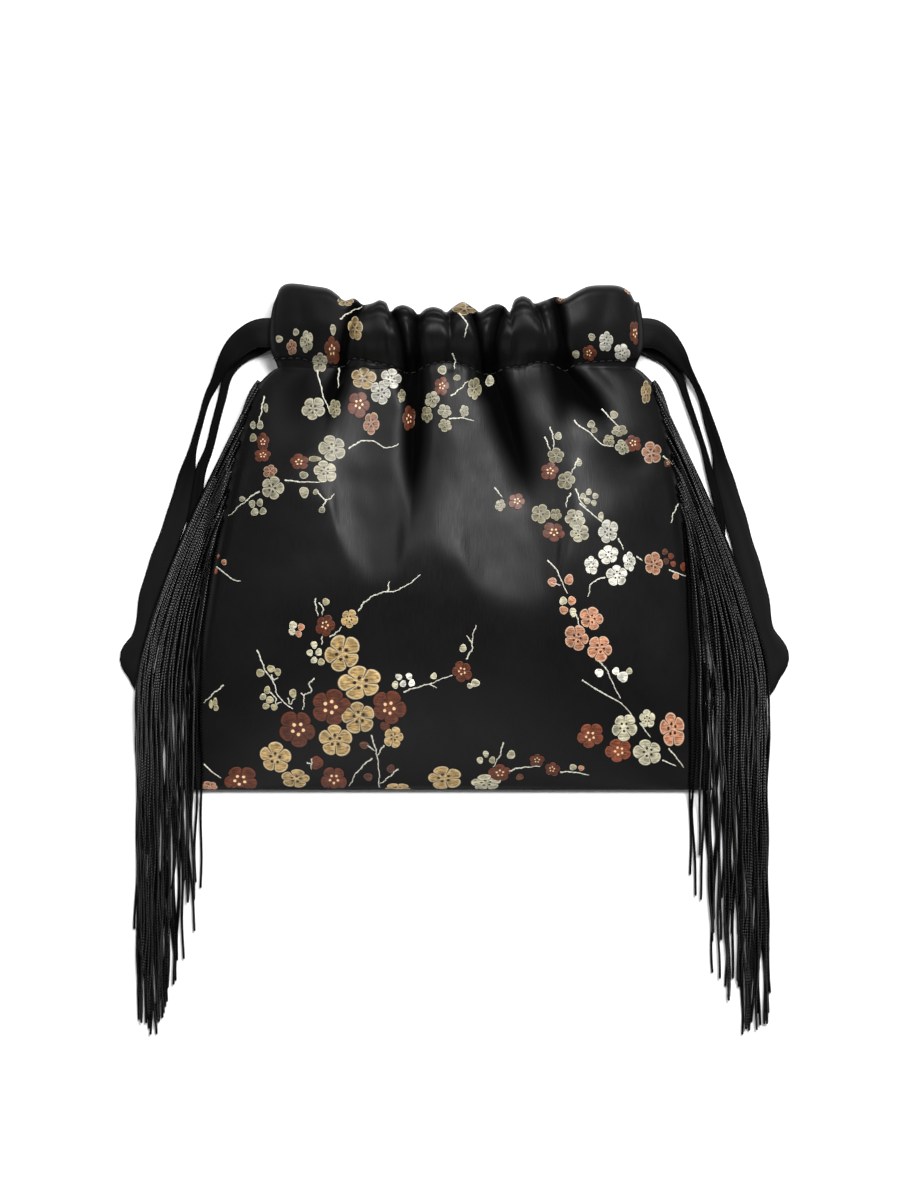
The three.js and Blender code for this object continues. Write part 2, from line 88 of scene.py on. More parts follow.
# %% Objects from points
def new_piece(name, points, faces, material, corner_uv=None, paint=None):
    """A smooth mesh object from points in millimetres.

    corner_uv holds one pair for each corner of each face, and paint a colour for each point.
    """
    mesh = bpy.data.meshes.new(name)
    places = np.asarray(points, float) * MM
    mesh.from_pydata(places.tolist(), [], [list(map(int, face)) for face in faces])
    if corner_uv is not None:
        layer = mesh.uv_layers.new(name="UVMap")
        layer.data.foreach_set("uv", np.asarray(corner_uv, np.float32).ravel())
    if paint is not None:
        layer = mesh.color_attributes.new(name="paint", type="FLOAT_COLOR", domain="POINT")
        layer.data.foreach_set("color", np.asarray(paint, np.float32).ravel())
    mesh.polygons.foreach_set("use_smooth", np.ones(len(mesh.polygons), bool))
    mesh.materials.append(material)
    mesh.update()
    piece = bpy.data.objects.new(name, mesh)
    bpy.context.scene.collection.objects.link(piece)
    return piece


print("pieces are given in millimetres and made in metres, at", MM)


# %% Grids and paint
def grid_faces(rows, columns, around=False):
    """Quads of a grid, numbered column by column inside each row; around closes each row into a ring."""
    faces = []
    last = columns if around else columns - 1
    for r in range(rows - 1):
        for c in range(last):
            d = (c + 1) % columns
            faces.append((r * columns + c, r * columns + d, (r + 1) * columns + d, (r + 1) * columns + c))
    return faces


def grey_paint(levels):
    """One opaque grey for each number."""
    paint = np.ones((len(levels), 4))
    paint[:, :3] = np.asarray(levels)[:, None]
    return paint


print("a grid of 3 by 3 points has", len(grid_faces(3, 3)), "faces")


# %% Blends and curves
def smoothstep(value, low, high):
    t = np.clip((value - low) / (high - low), 0, 1)
    return t * t * (3 - 2 * t)


def mix(a, b, t):
    return a + (b - a) * t


def hump(offset, reach):
    """1 where the offset is 0, fading softly over the reach."""
    return np.exp(-((offset / reach) ** 2))


def distance_along(line):
    """Distance of each point of a line from its first point, measured along the line."""
    return np.concatenate([[0], np.cumsum(np.linalg.norm(np.diff(line, axis=0), axis=1))])


def through(route, steps):
    """A smooth run through rows of numbers, the first three being a place; spacing follows the distances."""
    rows = np.asarray(route, float)
    gaps = np.linalg.norm(np.diff(rows[:, :3], axis=0), axis=1) ** 0.5
    knots = np.concatenate([[0], np.cumsum(gaps)])
    slopes = np.gradient(rows, knots, axis=0)
    at = np.linspace(0, knots[-1], steps)
    i = np.clip(np.searchsorted(knots, at, side="right") - 1, 0, len(rows) - 2)
    span = (knots[i + 1] - knots[i])[:, None]
    t = ((at - knots[i]) / span[:, 0])[:, None]
    start = (2 * t**3 - 3 * t**2 + 1) * rows[i] + (t**3 - 2 * t**2 + t) * span * slopes[i]
    return start + (3 * t**2 - 2 * t**3) * rows[i + 1] + (t**3 - t**2) * span * slopes[i + 1]


print("half way up a smoothstep:", smoothstep(0.5, 0, 1))

# %% [markdown]
# ## Finishes
# Satin is black but never flat: long floats of thread lie side by side and give a soft streaky sheen. The
# fringe and the stitches are twisted from finer yarns. Photographs of cloth could be wrapped round the
# pieces, but noise and waves stay sharp at any distance. Each effect is used by more than one finish, so each
# is a node group that puts out a height and a shade, and every finish sets its own values.


# %% Node helpers
def add_node(tree, kind, **settings):
    made = tree.nodes.new(kind)
    for key, value in settings.items():
        setattr(made, key, value)
    return made


def feed(tree, socket, source):
    """Sets a socket to a number or links it to another socket."""
    if isinstance(source, bpy.types.NodeSocket):
        tree.links.new(source, socket)
    else:
        socket.default_value = source


def maths(tree, operation, *sources):
    made = add_node(tree, "ShaderNodeMath", operation=operation)
    for i, source in enumerate(sources):
        feed(tree, made.inputs[i], source)
    return made.outputs[0]


print("node helpers ready")


# %% Ramps, noise and relief
def ramp_value(tree, value, low, high, to_low, to_high):
    made = add_node(tree, "ShaderNodeMapRange", interpolation_type="SMOOTHSTEP")
    for i, source in enumerate((value, low, high, to_low, to_high)):
        feed(tree, made.inputs[i], source)
    return made.outputs[0]


def noise(tree, place, scale, detail=2):
    made = add_node(tree, "ShaderNodeTexNoise")
    feed(tree, made.inputs["Vector"], place)
    made.inputs["Scale"].default_value = scale
    made.inputs["Detail"].default_value = detail
    return made.outputs[0]


def bump_from(tree, height, distance, strength):
    made = add_node(tree, "ShaderNodeBump")
    made.inputs["Strength"].default_value = strength
    made.inputs["Distance"].default_value = distance
    feed(tree, made.inputs["Height"], height)
    return made.outputs["Normal"]


print("ramps, noise and relief ready")


# %% Colour and group helpers
def linear(red, green, blue):
    """A screen colour, 0 to 255, as the linear colour that a shader takes."""
    shares = [level / 255 for level in (red, green, blue)]
    return tuple(((s + 0.055) / 1.055) ** 2.4 if s > 0.04 else s / 12.92 for s in shares) + (1,)


def blend_colour(tree, amount, a, b):
    made = add_node(tree, "ShaderNodeMix", data_type="RGBA")
    feed(tree, made.inputs[0], amount)
    feed(tree, made.inputs[6], a)
    feed(tree, made.inputs[7], b)
    return made.outputs[2]


def new_group(name, inputs, outputs):
    tree = bpy.data.node_groups.new(name, "ShaderNodeTree")
    for socket, kind, value in inputs:
        made = tree.interface.new_socket(name=socket, in_out="INPUT", socket_type=kind)
        if value is not None:
            made.default_value = value
    for socket in outputs:
        tree.interface.new_socket(name=socket, in_out="OUTPUT", socket_type="NodeSocketFloat")
    return tree, add_node(tree, "NodeGroupInput"), add_node(tree, "NodeGroupOutput")


def place_group(tree, group, **values):
    """Puts a node group into a tree, each named input set to a number or linked to a socket."""
    made = add_node(tree, "ShaderNodeGroup", node_tree=group)
    for name, value in values.items():
        feed(tree, made.inputs[name], value)
    return made


def uv_place(tree):
    return add_node(tree, "ShaderNodeUVMap", uv_map="UVMap").outputs[0]


print("mid grey is", round(linear(128, 128, 128)[0], 3), "in linear light")


# %% Group: satin floats
def satin_floats():
    tree, into, out = new_group(
        "satin_floats",
        [
            ("Cloth", "NodeSocketVector", None),
            ("Threads", "NodeSocketFloat", 1.4),
            ("Length", "NodeSocketFloat", 9.0),
        ],
        ["Height", "Shade"],
    )
    cloth, threads = into.outputs["Cloth"], into.outputs["Threads"]
    stretch = add_node(tree, "ShaderNodeCombineXYZ")
    feed(tree, stretch.inputs[0], threads)
    feed(tree, stretch.inputs[1], maths(tree, "DIVIDE", threads, into.outputs["Length"]))
    scaled = add_node(tree, "ShaderNodeVectorMath", operation="MULTIPLY")
    feed(tree, scaled.inputs[0], cloth)
    feed(tree, scaled.inputs[1], stretch.outputs[0])
    fine = noise(tree, scaled.outputs[0], scale=1, detail=3)
    broad = noise(tree, cloth, scale=0.05)
    feed(tree, out.inputs["Height"], fine)
    feed(tree, out.inputs["Shade"], maths(tree, "MULTIPLY", maths(tree, "ADD", fine, broad), 0.5))
    return tree


SATIN_FLOATS = satin_floats()
print("group", SATIN_FLOATS.name)

# %% Group: twisted ply
# The Shade output is painted light and shade on the twist: lighter on the crown of each ply, darker in the
# groove between plies, with random fuzz.
PLIES, PLY_SHADE, FUZZ_SCALE = 2, 0.3, 0.35


def twisted_ply():
    tree, into, out = new_group(
        "twisted_ply",
        [("Strand", "NodeSocketVector", None), ("Pitch", "NodeSocketFloat", 2.2)],
        ["Height", "Shade"],
    )
    parts = add_node(tree, "ShaderNodeSeparateXYZ")
    feed(tree, parts.inputs[0], into.outputs["Strand"])
    twist = maths(tree, "DIVIDE", parts.outputs[0], into.outputs["Pitch"])
    turns = maths(tree, "ADD", twist, parts.outputs[1])
    wave = maths(tree, "SINE", maths(tree, "MULTIPLY", turns, 2 * math.pi * PLIES))
    feed(tree, out.inputs["Height"], maths(tree, "MULTIPLY_ADD", wave, 0.5, 0.5))
    fuzz = noise(tree, into.outputs["Strand"], FUZZ_SCALE)
    feed(tree, out.inputs["Shade"], maths(tree, "MULTIPLY_ADD", wave, PLY_SHADE, fuzz))
    return tree


TWISTED_PLY = twisted_ply()
print("group", TWISTED_PLY.name)


# %% Start of a finish
def new_finish(name):
    finish = bpy.data.materials.new(name)
    finish.use_nodes = True
    tree = finish.node_tree
    return finish, tree, tree.nodes["Principled BSDF"]


def painted_shade(tree):
    """The painted shade of a mesh as one number: 0 in the open, 1 where shade is painted, deep in a crease,
    in a bunched strap or under other strands.
    """
    parts = add_node(tree, "ShaderNodeSeparateColor")
    feed(tree, parts.inputs[0], add_node(tree, "ShaderNodeVertexColor", layer_name="paint").outputs["Color"])
    return parts.outputs[0]


print("each finish starts from a Principled shader")

# %% Satin finish
# Deep in a crease satin gets almost no light, so painted shade darkens it there. Black metal sends almost no
# light back, so the painted shade feeds Metallic too.
PAINTED_SHADE_BLACK, SHADE_SHUTS_GLOSS, CREASE_ROUGH = linear(4, 4, 4), 0.8, 0.45
FLOAT_SHADES, GLOSS_SPREAD = (0.3, 0.7), 0.05
FLOAT_RELIEF, FLOAT_BUMP = 0.00012, 0.35
SHEEN_ROUGH, SHEEN_TINT = 0.35, (0.8, 0.82, 0.88, 1)


def satin_finish(name, dark, light, threads, length, roughness, sheen, shine):
    """Black satin over a UV map in millimetres, with painted shade: darker and duller where the paint marks a
    crease.
    """
    finish, tree, shader = new_finish(name)
    deep = painted_shade(tree)
    floats = place_group(tree, SATIN_FLOATS, Cloth=uv_place(tree), Threads=threads, Length=length)
    shade = floats.outputs["Shade"]
    open_colour = blend_colour(tree, shade, dark, light)
    feed(tree, shader.inputs["Base Color"], blend_colour(tree, deep, open_colour, PAINTED_SHADE_BLACK))
    gloss = ramp_value(tree, shade, *FLOAT_SHADES, roughness - GLOSS_SPREAD, roughness + GLOSS_SPREAD)
    feed(tree, shader.inputs["Roughness"], maths(tree, "MULTIPLY_ADD", deep, CREASE_ROUGH, gloss))
    feed(tree, shader.inputs["Metallic"], maths(tree, "MULTIPLY", deep, SHADE_SHUTS_GLOSS))
    relief = bump_from(tree, floats.outputs["Height"], FLOAT_RELIEF, FLOAT_BUMP)
    feed(tree, shader.inputs["Normal"], relief)
    shader.inputs["Specular IOR Level"].default_value = shine
    shader.inputs["Sheen Weight"].default_value = sheen
    shader.inputs["Sheen Roughness"].default_value = SHEEN_ROUGH
    shader.inputs["Sheen Tint"].default_value = SHEEN_TINT
    return finish


BROCADE = satin_finish(
    "black_brocade", dark=linear(13, 13, 13), light=linear(22, 22, 22),
    threads=1.6, length=10, roughness=0.4, sheen=0.02, shine=0.13,
)
STRAP_SATIN = satin_finish(
    "strap_satin", dark=linear(6, 6, 6), light=linear(15, 15, 14),
    threads=2.2, length=14, roughness=0.46, sheen=0.01, shine=0.08,
)
print("finishes:", BROCADE.name, STRAP_SATIN.name)

# %% Cord finish
PLY_SHADES, PLY_GLOSS_SPREAD = (0.2, 0.8), 0.1
PLY_RELIEF, PLY_BUMP, CORD_SHINE = 0.00024, 0.9, 0.4


def cord_finish(name, dark, light, pitch, roughness):
    """Twisted cord over a UV map that runs along it in millimetres and once around it, with painted shade
    where the paint marks it.
    """
    finish, tree, shader = new_finish(name)
    deep = painted_shade(tree)
    ply = place_group(tree, TWISTED_PLY, Strand=uv_place(tree), Pitch=pitch)
    shade = ply.outputs["Shade"]
    twist_colour = blend_colour(tree, shade, dark, light)
    feed(tree, shader.inputs["Base Color"], blend_colour(tree, deep, twist_colour, PAINTED_SHADE_BLACK))
    gloss = ramp_value(tree, shade, *PLY_SHADES, roughness + PLY_GLOSS_SPREAD, roughness)
    feed(tree, shader.inputs["Roughness"], gloss)
    feed(tree, shader.inputs["Metallic"], deep)
    feed(tree, shader.inputs["Normal"], bump_from(tree, ply.outputs["Height"], PLY_RELIEF, PLY_BUMP))
    shader.inputs["Specular IOR Level"].default_value = CORD_SHINE
    return finish


FRINGE_CORD = cord_finish("fringe_cord", linear(1, 1, 1), linear(10, 10, 10), pitch=2.6, roughness=0.22)
THREAD = cord_finish("sewing_thread", linear(10, 10, 11), linear(36, 36, 38), pitch=0.9, roughness=0.5)
print("finishes:", FRINGE_CORD.name, THREAD.name)

# %% [markdown]
# ## Outline of the cloth
# Seen from above the pouch is narrow at the neck and flares to a straight bottom edge. A sculpted mesh could
# hold this, but a few functions of place can be read, changed and reused: the blossoms, stitches and fringe
# ask them how wide the cloth is and how high it lies.

# %% Sizes shared with the solids
CLOTH, GAP, TAPE = 1.2, 0.3, 1
BOTTOM_Y, STITCH_Y, MOUTH_Y = -59, 130, 160.5
NECK_HALF, BOTTOM_HALF, FLARE = 82.5, 119.5, 0.52
NECK_CENTRE_X, BOTTOM_CENTRE_X = 0.9, -3.8
NECK_PINCH, NECK_PINCH_REACH = 2.4, 6
SEAM_STACK = 2 * CLOTH + GAP
TAPED_STACK = SEAM_STACK + TAPE + GAP
NECK_STACK = 4 * CLOTH + 2 * GAP
TAPE_FOOT_Y = -16
SIDE_EDGE, NECK_EDGE = 10, 8.2
FLANGE_SHARE, FLANGE_Y = 0.975, -56
DOME_POWER, DOME_ROUND = 2.6, 0.85
print("bag", 2 * BOTTOM_HALF, "mm wide,", MOUTH_Y - BOTTOM_Y, "mm from the bottom edge to the gathered mouth")

# %% Outline
CASING_WAIST, CASING_BULGE, CASING_TAPER = 0.2, 1.3, 0.8


def centre_line(y):
    return mix(BOTTOM_CENTRE_X, NECK_CENTRE_X, np.clip((y - BOTTOM_Y) / (STITCH_Y - BOTTOM_Y), 0, 1))


def half_width(y):
    flare = (BOTTOM_HALF - NECK_HALF) * np.clip((STITCH_Y - y) / (STITCH_Y - BOTTOM_Y), 0, 1) ** FLARE
    return NECK_HALF + flare - NECK_PINCH * hump(y - STITCH_Y, NECK_PINCH_REACH)


def casing_half(up):
    """Half width of a casing, drawn in at the stitches and full at the middle."""
    drawn = NECK_HALF - NECK_PINCH * hump(up, CASING_WAIST)
    return drawn + CASING_BULGE * np.sin(math.pi * up) - CASING_TAPER * up**4


def share_across(x, y):
    return (x - centre_line(y)) / half_width(y)


def side_x(side, y):
    return centre_line(y) + side * half_width(y)


print("half width at the belly", round(float(half_width(50)), 1), "mm")

# %% Edges and seams
EDGE_FALLS = (98, STITCH_Y - 4)
TAPE_STARTS = (TAPE_FOOT_Y - 20, TAPE_FOOT_Y)
HEM_JOINS = (STITCH_Y - 12, STITCH_Y - 1)


def dome(share):
    """Swell across the pouch: 1 in the middle and 0 at the seams."""
    return (1 - np.clip(np.abs(share) / FLANGE_SHARE, 0, 1) ** DOME_POWER) ** DOME_ROUND


def front_edge(y):
    """Height of the front at the side seams."""
    up = mix(SEAM_STACK, SIDE_EDGE, smoothstep(y, FLANGE_Y, 0))
    return up - (SIDE_EDGE - NECK_EDGE) * smoothstep(y, *EDGE_FALLS)


def seam_stack(y):
    """Thickness of the layers sewn together at the side seams."""
    taped = mix(SEAM_STACK, TAPED_STACK, smoothstep(y, *TAPE_STARTS))
    return mix(taped, NECK_STACK, smoothstep(y, *HEM_JOINS))


print("a side seam lies", round(float(front_edge(50)), 1), "mm high at the belly")

# %% [markdown]
# ## Swell of the belly
# The front swells over the belly, and above a wavy line the pull of the strap draws it down to the neck. That
# line shows in the photograph as the lower end of the bright lobes. A cloth simulation would find a line of
# its own, so this one is charted and the cloth is a function of it.

# %% Swell of the belly
# The line across the front where the belly is full: below it the cloth is smooth, above it the gathers pull.
RIM_LINE = [
    (-124, 84), (-101, 83), (-84, 82), (-64, 79), (-56, 70), (-50, 54), (-43, 41), (-35, 35), (-27, 39),
    (-20, 51), (-9, 54), (1, 49), (8, 38), (16, 25), (27, 16), (37, 20), (44, 33), (48, 47), (55, 62),
    (67, 64), (84, 65), (98, 69), (106, 80), (122, 86),
]
RIM_STEPS = 400
BELLY_TOP, NECK_TOP, NECK_DRAWN = 39, 30, 4.2
RISE_SHARE, RISE_POWER, RIM_ROUND, BELLY_FULL_Y, MOST_DOWN = 0.78, 5, 1.2, 46, 1.5
RIM_SMOOTH = through([(x, y, 0) for x, y in RIM_LINE], RIM_STEPS)


def swell_start(x):
    return np.interp(x, RIM_SMOOTH[:, 0], RIM_SMOOTH[:, 1])


def crest(x, y):
    """Height along the middle of the front, before folds: up from the bottom seam, then down to the neck."""
    full = swell_start(x)
    rising = np.clip((y - BOTTOM_Y) / (BELLY_FULL_Y - BOTTOM_Y), 0, 1)
    below = mix(SEAM_STACK, BELLY_TOP, np.sin(math.pi / 2 * rising) ** DOME_ROUND)
    down = np.clip((STITCH_Y - y) / (STITCH_Y - full), 0, MOST_DOWN)
    neck = NECK_TOP - NECK_DRAWN
    above = neck + (BELLY_TOP - neck) * (RISE_SHARE * down + (1 - RISE_SHARE) * down**RISE_POWER)
    return -RIM_ROUND * np.log(np.exp(-below / RIM_ROUND) + np.exp(-above / RIM_ROUND))


print("the belly is full from", round(RIM_SMOOTH[:, 1].min()), "to", round(RIM_SMOOTH[:, 1].max()), "mm")

# %% [markdown]
# ## Valleys and dents
# Between the gathers the cloth falls into deep valleys, which run from the top fold over the stitches and die
# out on the belly. Softer dents and swells lie between them. Each is a row of sizes, so a fold can be moved
# without touching the others.

# %% Chart of the valleys
# The middle line of a fold runs from the top fold over the stitches to the foot. Width is the half width at
# the stitches and tight the one in the casing, lean widens the right flank, and the depths are those at the
# stitches and at the top fold.
FOLD_COLUMNS = ("top", "stitch", "foot_x", "foot_y", "width", "tight", "lean", "depth", "top_depth")
FOLD_ROWS = [
    (-41, -49.5, -60, 97, 3.6, 3.4, 0.6, 7, 7),
    (-28.6, -22, -21, 112, 1.9, 1.5, 1, 6.5, 5),
    (-16.8, -17.2, -20, 44, 2.7, 2, 1.1, 8.8, 7),
    (-2.5, -1.5, -1, 127, 2, 1.4, 1, 0.3, 3),
    (7, 12.2, 17, 112, 2, 1.5, 1, 6, 5),
    (22.6, 16.8, 36, 62, 4.4, 2.1, 0.8, 8.8, 7),
    (35.6, 42, 42, 127, 2.2, 1.6, 1, 0.3, 4),
    (44.5, 48.8, 76, 94, 5.8, 2.6, 0.8, 8.4, 8),
    (-72, -66, -70, 112, 6, 6, 1, 1.5, 0.8),
    (70, 64, 78, 112, 4.4, 6, 1, 1.6, 1.6),
]
FOLDS = [dict(zip(FOLD_COLUMNS, row)) for row in FOLD_ROWS]
print(len(FOLDS), "folds, the deepest", max(fold["depth"] for fold in FOLDS), "mm at the stitches")

# %% Depth of the valleys
FOLD_SPREAD, FOLD_DEEPENS, TIGHT_BY = 1.5, 1.6, 0.35
BODY_SHARP, CASING_SHARP, DEEPEST_CASING_FOLD = 1.2, 1.5, 9


def fold_depth(x, y, up):
    """Depth of the valleys; up runs from the stitches (0) to the top fold (1) and is 0 below the stitches."""
    total = 0
    casing = smoothstep(up, 0, TIGHT_BY)
    sharp = mix(BODY_SHARP, CASING_SHARP, casing)
    for fold in FOLDS:
        stitch = fold["stitch"]
        down = np.clip((STITCH_Y - y) / (STITCH_Y - fold["foot_y"]), 0, 1)
        middle = stitch + (fold["foot_x"] - stitch) * down + (fold["top"] - stitch) * up**2
        wide = mix(fold["width"] * (1 + FOLD_SPREAD * down), fold["tight"], casing)
        wide = wide * np.where(x > middle, fold["lean"], 1)
        deep = mix(fold["depth"], fold["top_depth"], up) * (1 + FOLD_DEEPENS * down * (1 - down))
        total = total + deep * (1 - smoothstep(down, 0, 1)) * np.exp(-((np.abs(x - middle) / wide) ** sharp))
    return np.where(up > 0, np.minimum(total, DEEPEST_CASING_FOLD), total)


print("a valley of the casing is at most", DEEPEST_CASING_FOLD, "mm deep")

# %% Dents and swells
# Place, half widths, depth (below zero for a swell), and how much painted shade the dent gets.
DENTS = [
    {"at": (79, 89), "half": (12, 9), "depth": 4.4, "dark": 0.7},
    {"at": (83, 73), "half": (17, 8), "depth": -0.8, "dark": 0},
    {"at": (101, 70), "half": (16, 12), "depth": -2.6, "dark": 0},
    {"at": (-72, 114), "half": (13, 17), "depth": 4.5, "dark": 0.6},
    {"at": (-37, 116), "half": (13, 36), "depth": 3.2, "dark": 0},
    {"at": (-37, 88), "half": (10, 9), "depth": -0.8, "dark": 0},
    {"at": (32, 80), "half": (8, 17), "depth": 1.8, "dark": 1},
    {"at": (47, 111), "half": (6, 15), "depth": 0.5, "dark": 5},
    {"at": (33, 122), "half": (9, 9), "depth": 0.4, "dark": 5},
    {"at": (-80, 50), "half": (26, 20), "depth": 1.2, "dark": 0},
    {"at": (-90, 84), "half": (10, 7), "depth": -1.0, "dark": 0},
    {"at": (-101, 78), "half": (15, 11), "depth": -2.4, "dark": 0},
    {"at": (-66, 90), "half": (10, 6), "depth": -1.2, "dark": 0},
    {"at": (97, 0), "half": (12, 16), "depth": -1.6, "dark": 0},
]


def dent_depth(x, y, for_shade=False):
    """Depth of the hollows, or, for the painted shade, each depth times how dark its dent is painted."""
    total = 0
    for dent in DENTS:
        depth = dent["depth"] * (dent["dark"] if for_shade else 1)
        (at_x, at_y), (half_x, half_y) = dent["at"], dent["half"]
        total = total + depth * hump(x - at_x, half_x) * hump(y - at_y, half_y)
    return total


print(len(DENTS), "dents and swells")

# %% [markdown]
# ## Stitch row and fine wrinkles
# The row of stitches under the casing draws the cloth down in a narrow trough, with short upright creases and
# puckers beside it. Low waves all over keep the satin from looking like moulded plastic. A bump texture could
# show them, but real height also changes the outline of a highlight.

# %% Row of stitches and its pinch
# Picture columns and rows along the stitches under the casing.
STITCH_LINE = [
    (264, 357), (300, 357), (318, 363), (343, 365), (352, 358), (375, 362), (390, 365), (404, 371),
    (414, 371), (426, 365), (446, 361), (466, 365), (481, 372), (494, 372), (506, 367), (522, 366),
    (538, 361), (554, 364), (566, 369), (577, 363), (600, 360), (642, 357),
]
PICTURE_STEPS, STITCH_Z = 500, 27
PINCH, PINCH_BELOW, PINCH_ABOVE = 2.4, 9, 4.5


def from_picture(table, height):
    """A smooth line at one height through picture places, as the camera sees it, in millimetres."""
    line = through([(*from_photo(px, py), 0) for px, py in table], PICTURE_STEPS)[:, :2]
    return mix(line, np.array([centre_x, centre_y]), height / CAMERA_HEIGHT)


STITCH_SMOOTH = from_picture(STITCH_LINE, STITCH_Z)


def stitch_row(x):
    return np.interp(x, STITCH_SMOOTH[:, 0], STITCH_SMOOTH[:, 1])


def pinch(x, y):
    """How far the row of stitches draws the cloth down."""
    off_row = y - stitch_row(x)
    return PINCH * hump(off_row, np.where(off_row < 0, PINCH_BELOW, PINCH_ABOVE))


print("the stitches run", round(distance_along(STITCH_SMOOTH)[-1]), "mm across the neck")

# %% Low waves
WAVES, WAVE_STEEP, WAVE_SEED = 12, 0.0016, 3
SHORTEST_WAVE, LONGEST_WAVE = 9, 34
wave_draw = np.random.default_rng(WAVE_SEED)
WAVE_TURN = wave_draw.uniform(0, math.pi, WAVES)
WAVE_PHASE = wave_draw.uniform(0, 2 * math.pi, WAVES)
WAVE_LENGTH = np.geomspace(SHORTEST_WAVE, LONGEST_WAVE, WAVES)


def crumple(x, y):
    """Low crossing waves, about as high as they are in cloth that has been handled."""
    total = 0
    for length, turn, phase in zip(WAVE_LENGTH, WAVE_TURN, WAVE_PHASE):
        run = x * math.cos(turn) + y * math.sin(turn)
        total = total + WAVE_STEEP * length * np.sin(2 * math.pi / length * run + phase)
    return total


print("waves from", SHORTEST_WAVE, "to", LONGEST_WAVE, "mm long")

# %% Fine wrinkles
LOWEST_WAVES, WAVES_GROW = 0.3, (0, 80)
CREASE_HEIGHT, CREASE_PITCH, CREASE_REACH, CREASE_LEAN = 0.14, 6.1, 9, 16
CREASE_SWAY, CREASE_VARIES = (1.7, 7), (0.4, 9)
PUCKER_HEIGHT, PUCKER_PITCH, PUCKER_REACH, PUCKER_SWAY = 0.13, 3.1, 2.5, (1.3, 6)
GROOVE_DEPTH, GROOVE_REACH = 0.6, 1.1


def swaying(x, pitch, sway):
    """Phase of upright creases across the cloth, a little closer here and wider there."""
    amount, over = sway
    return x * 2 * math.pi / pitch + amount * np.sin(x / over)


def wrinkles(x, y):
    """Small soft unevenness: low waves all over, short creases beside the stitches, and their groove."""
    off_row = y - stitch_row(x)
    upright = np.sin(swaying(x, CREASE_PITCH, CREASE_SWAY) + y / CREASE_LEAN)
    varies = 1 + CREASE_VARIES[0] * np.sin(x / CREASE_VARIES[1])
    creases = CREASE_HEIGHT * upright * hump(off_row, CREASE_REACH) * varies
    pucker = PUCKER_HEIGHT * np.sin(swaying(x, PUCKER_PITCH, PUCKER_SWAY))
    pucker = pucker * np.exp(-np.abs(off_row) / PUCKER_REACH)
    groove = -GROOVE_DEPTH * hump(off_row, GROOVE_REACH)
    low = crumple(x, y) * (LOWEST_WAVES + (1 - LOWEST_WAVES) * smoothstep(y, *WAVES_GROW))
    return low + creases + pucker + groove


print("creases about", CREASE_PITCH, "mm apart beside the stitches")

# %% Height of the front
BOTTOM_ROLL = (BOTTOM_Y - 0.5, BOTTOM_Y + 1.5)


def front_height(x, y):
    edge = front_edge(y)
    top = crest(x, y) - pinch(x, y) + wrinkles(x, y) - dent_depth(x, y) - fold_depth(x, y, 0 * y)
    return edge + dome(share_across(x, y)) * (top - edge) * smoothstep(y, *BOTTOM_ROLL)


print("belly height", round(float(front_height(np.array(0.0), np.array(40.0))), 1), "mm")

# %% [markdown]
# ## Casings
# Above the stitches the cloth folds over and comes down inside, which makes the tunnel for the straps. The
# front casing puffs out over the strap and has a frill of small knobs along its top fold. The back casing
# lies flat. Both are given as an outer and an inner height, so one grid can run up the outside and down the
# inside.

# %% Top fold and frill
# Picture columns and rows along the top fold with its small knobs.
TOP_LINE = [
    (272, 300), (277, 286), (285, 282), (312, 285), (327, 288), (336, 294), (343, 300), (353, 298),
    (362, 304), (371, 303), (379, 300), (386, 303), (389.5, 311), (396, 306.5), (403, 305), (412, 308.5),
    (418, 314), (425, 309), (433, 307), (441, 309), (446, 312), (453, 307), (463, 302), (474, 308),
    (480, 312), (488, 307), (498, 304), (506, 307), (510, 312), (515, 300), (523, 296), (531, 299),
    (535, 303), (546, 300), (557, 296), (565, 298), (578, 291), (590, 285.5), (605, 284), (621, 284.5),
    (631, 289), (638, 300),
]
TOP_FOLD_Z = 22
TOP_SMOOTH = from_picture(TOP_LINE, TOP_FOLD_Z)
GATHERED_LEFT, GATHERED_RIGHT = (-48, -40), (42, 50)
FRILL, FRILL_AT, FRILL_REACH = 1.1, 0.8, 0.07
MOUTH_RIPPLE, RIPPLE_PITCH = 0.8, 27


def top_fold(share):
    return np.interp(share * NECK_HALF + NECK_CENTRE_X, TOP_SMOOTH[:, 0], TOP_SMOOTH[:, 1])


def ripple(x):
    return MOUTH_RIPPLE * (0.5 + 0.5 * np.cos(2 * math.pi * x / RIPPLE_PITCH))


def frill(x, up):
    """The crease under the small frill that stands above the strap, only where the casing is gathered."""
    gathered = smoothstep(x, *GATHERED_LEFT) * (1 - smoothstep(x, *GATHERED_RIGHT))
    return FRILL * gathered * hump(up - FRILL_AT, FRILL_REACH)


print("the top fold lies between", TOP_SMOOTH[:, 1].min().round(1), "and", TOP_SMOOTH[:, 1].max().round(1))

# %% Height of the front casing
# How far up the casing has puffed out in full: further up in the middle of a gather than in a valley.
LOBE_FULL, VALLEY_FULL = 0.62, 0.26
CASING_PUFF, CASING_FALL, FALL_FROM, CASING_CRUMPLE = 6.7, 1.4, 0.5, 3
CASING_SPACE, HEM_SHARE, MOUTH_LIFT = 3.4, 0.25, 15.7
CASING_THICK = CASING_SPACE + 2 * CLOTH
EAR_TOP = 2 * CASING_THICK + 2 * GAP


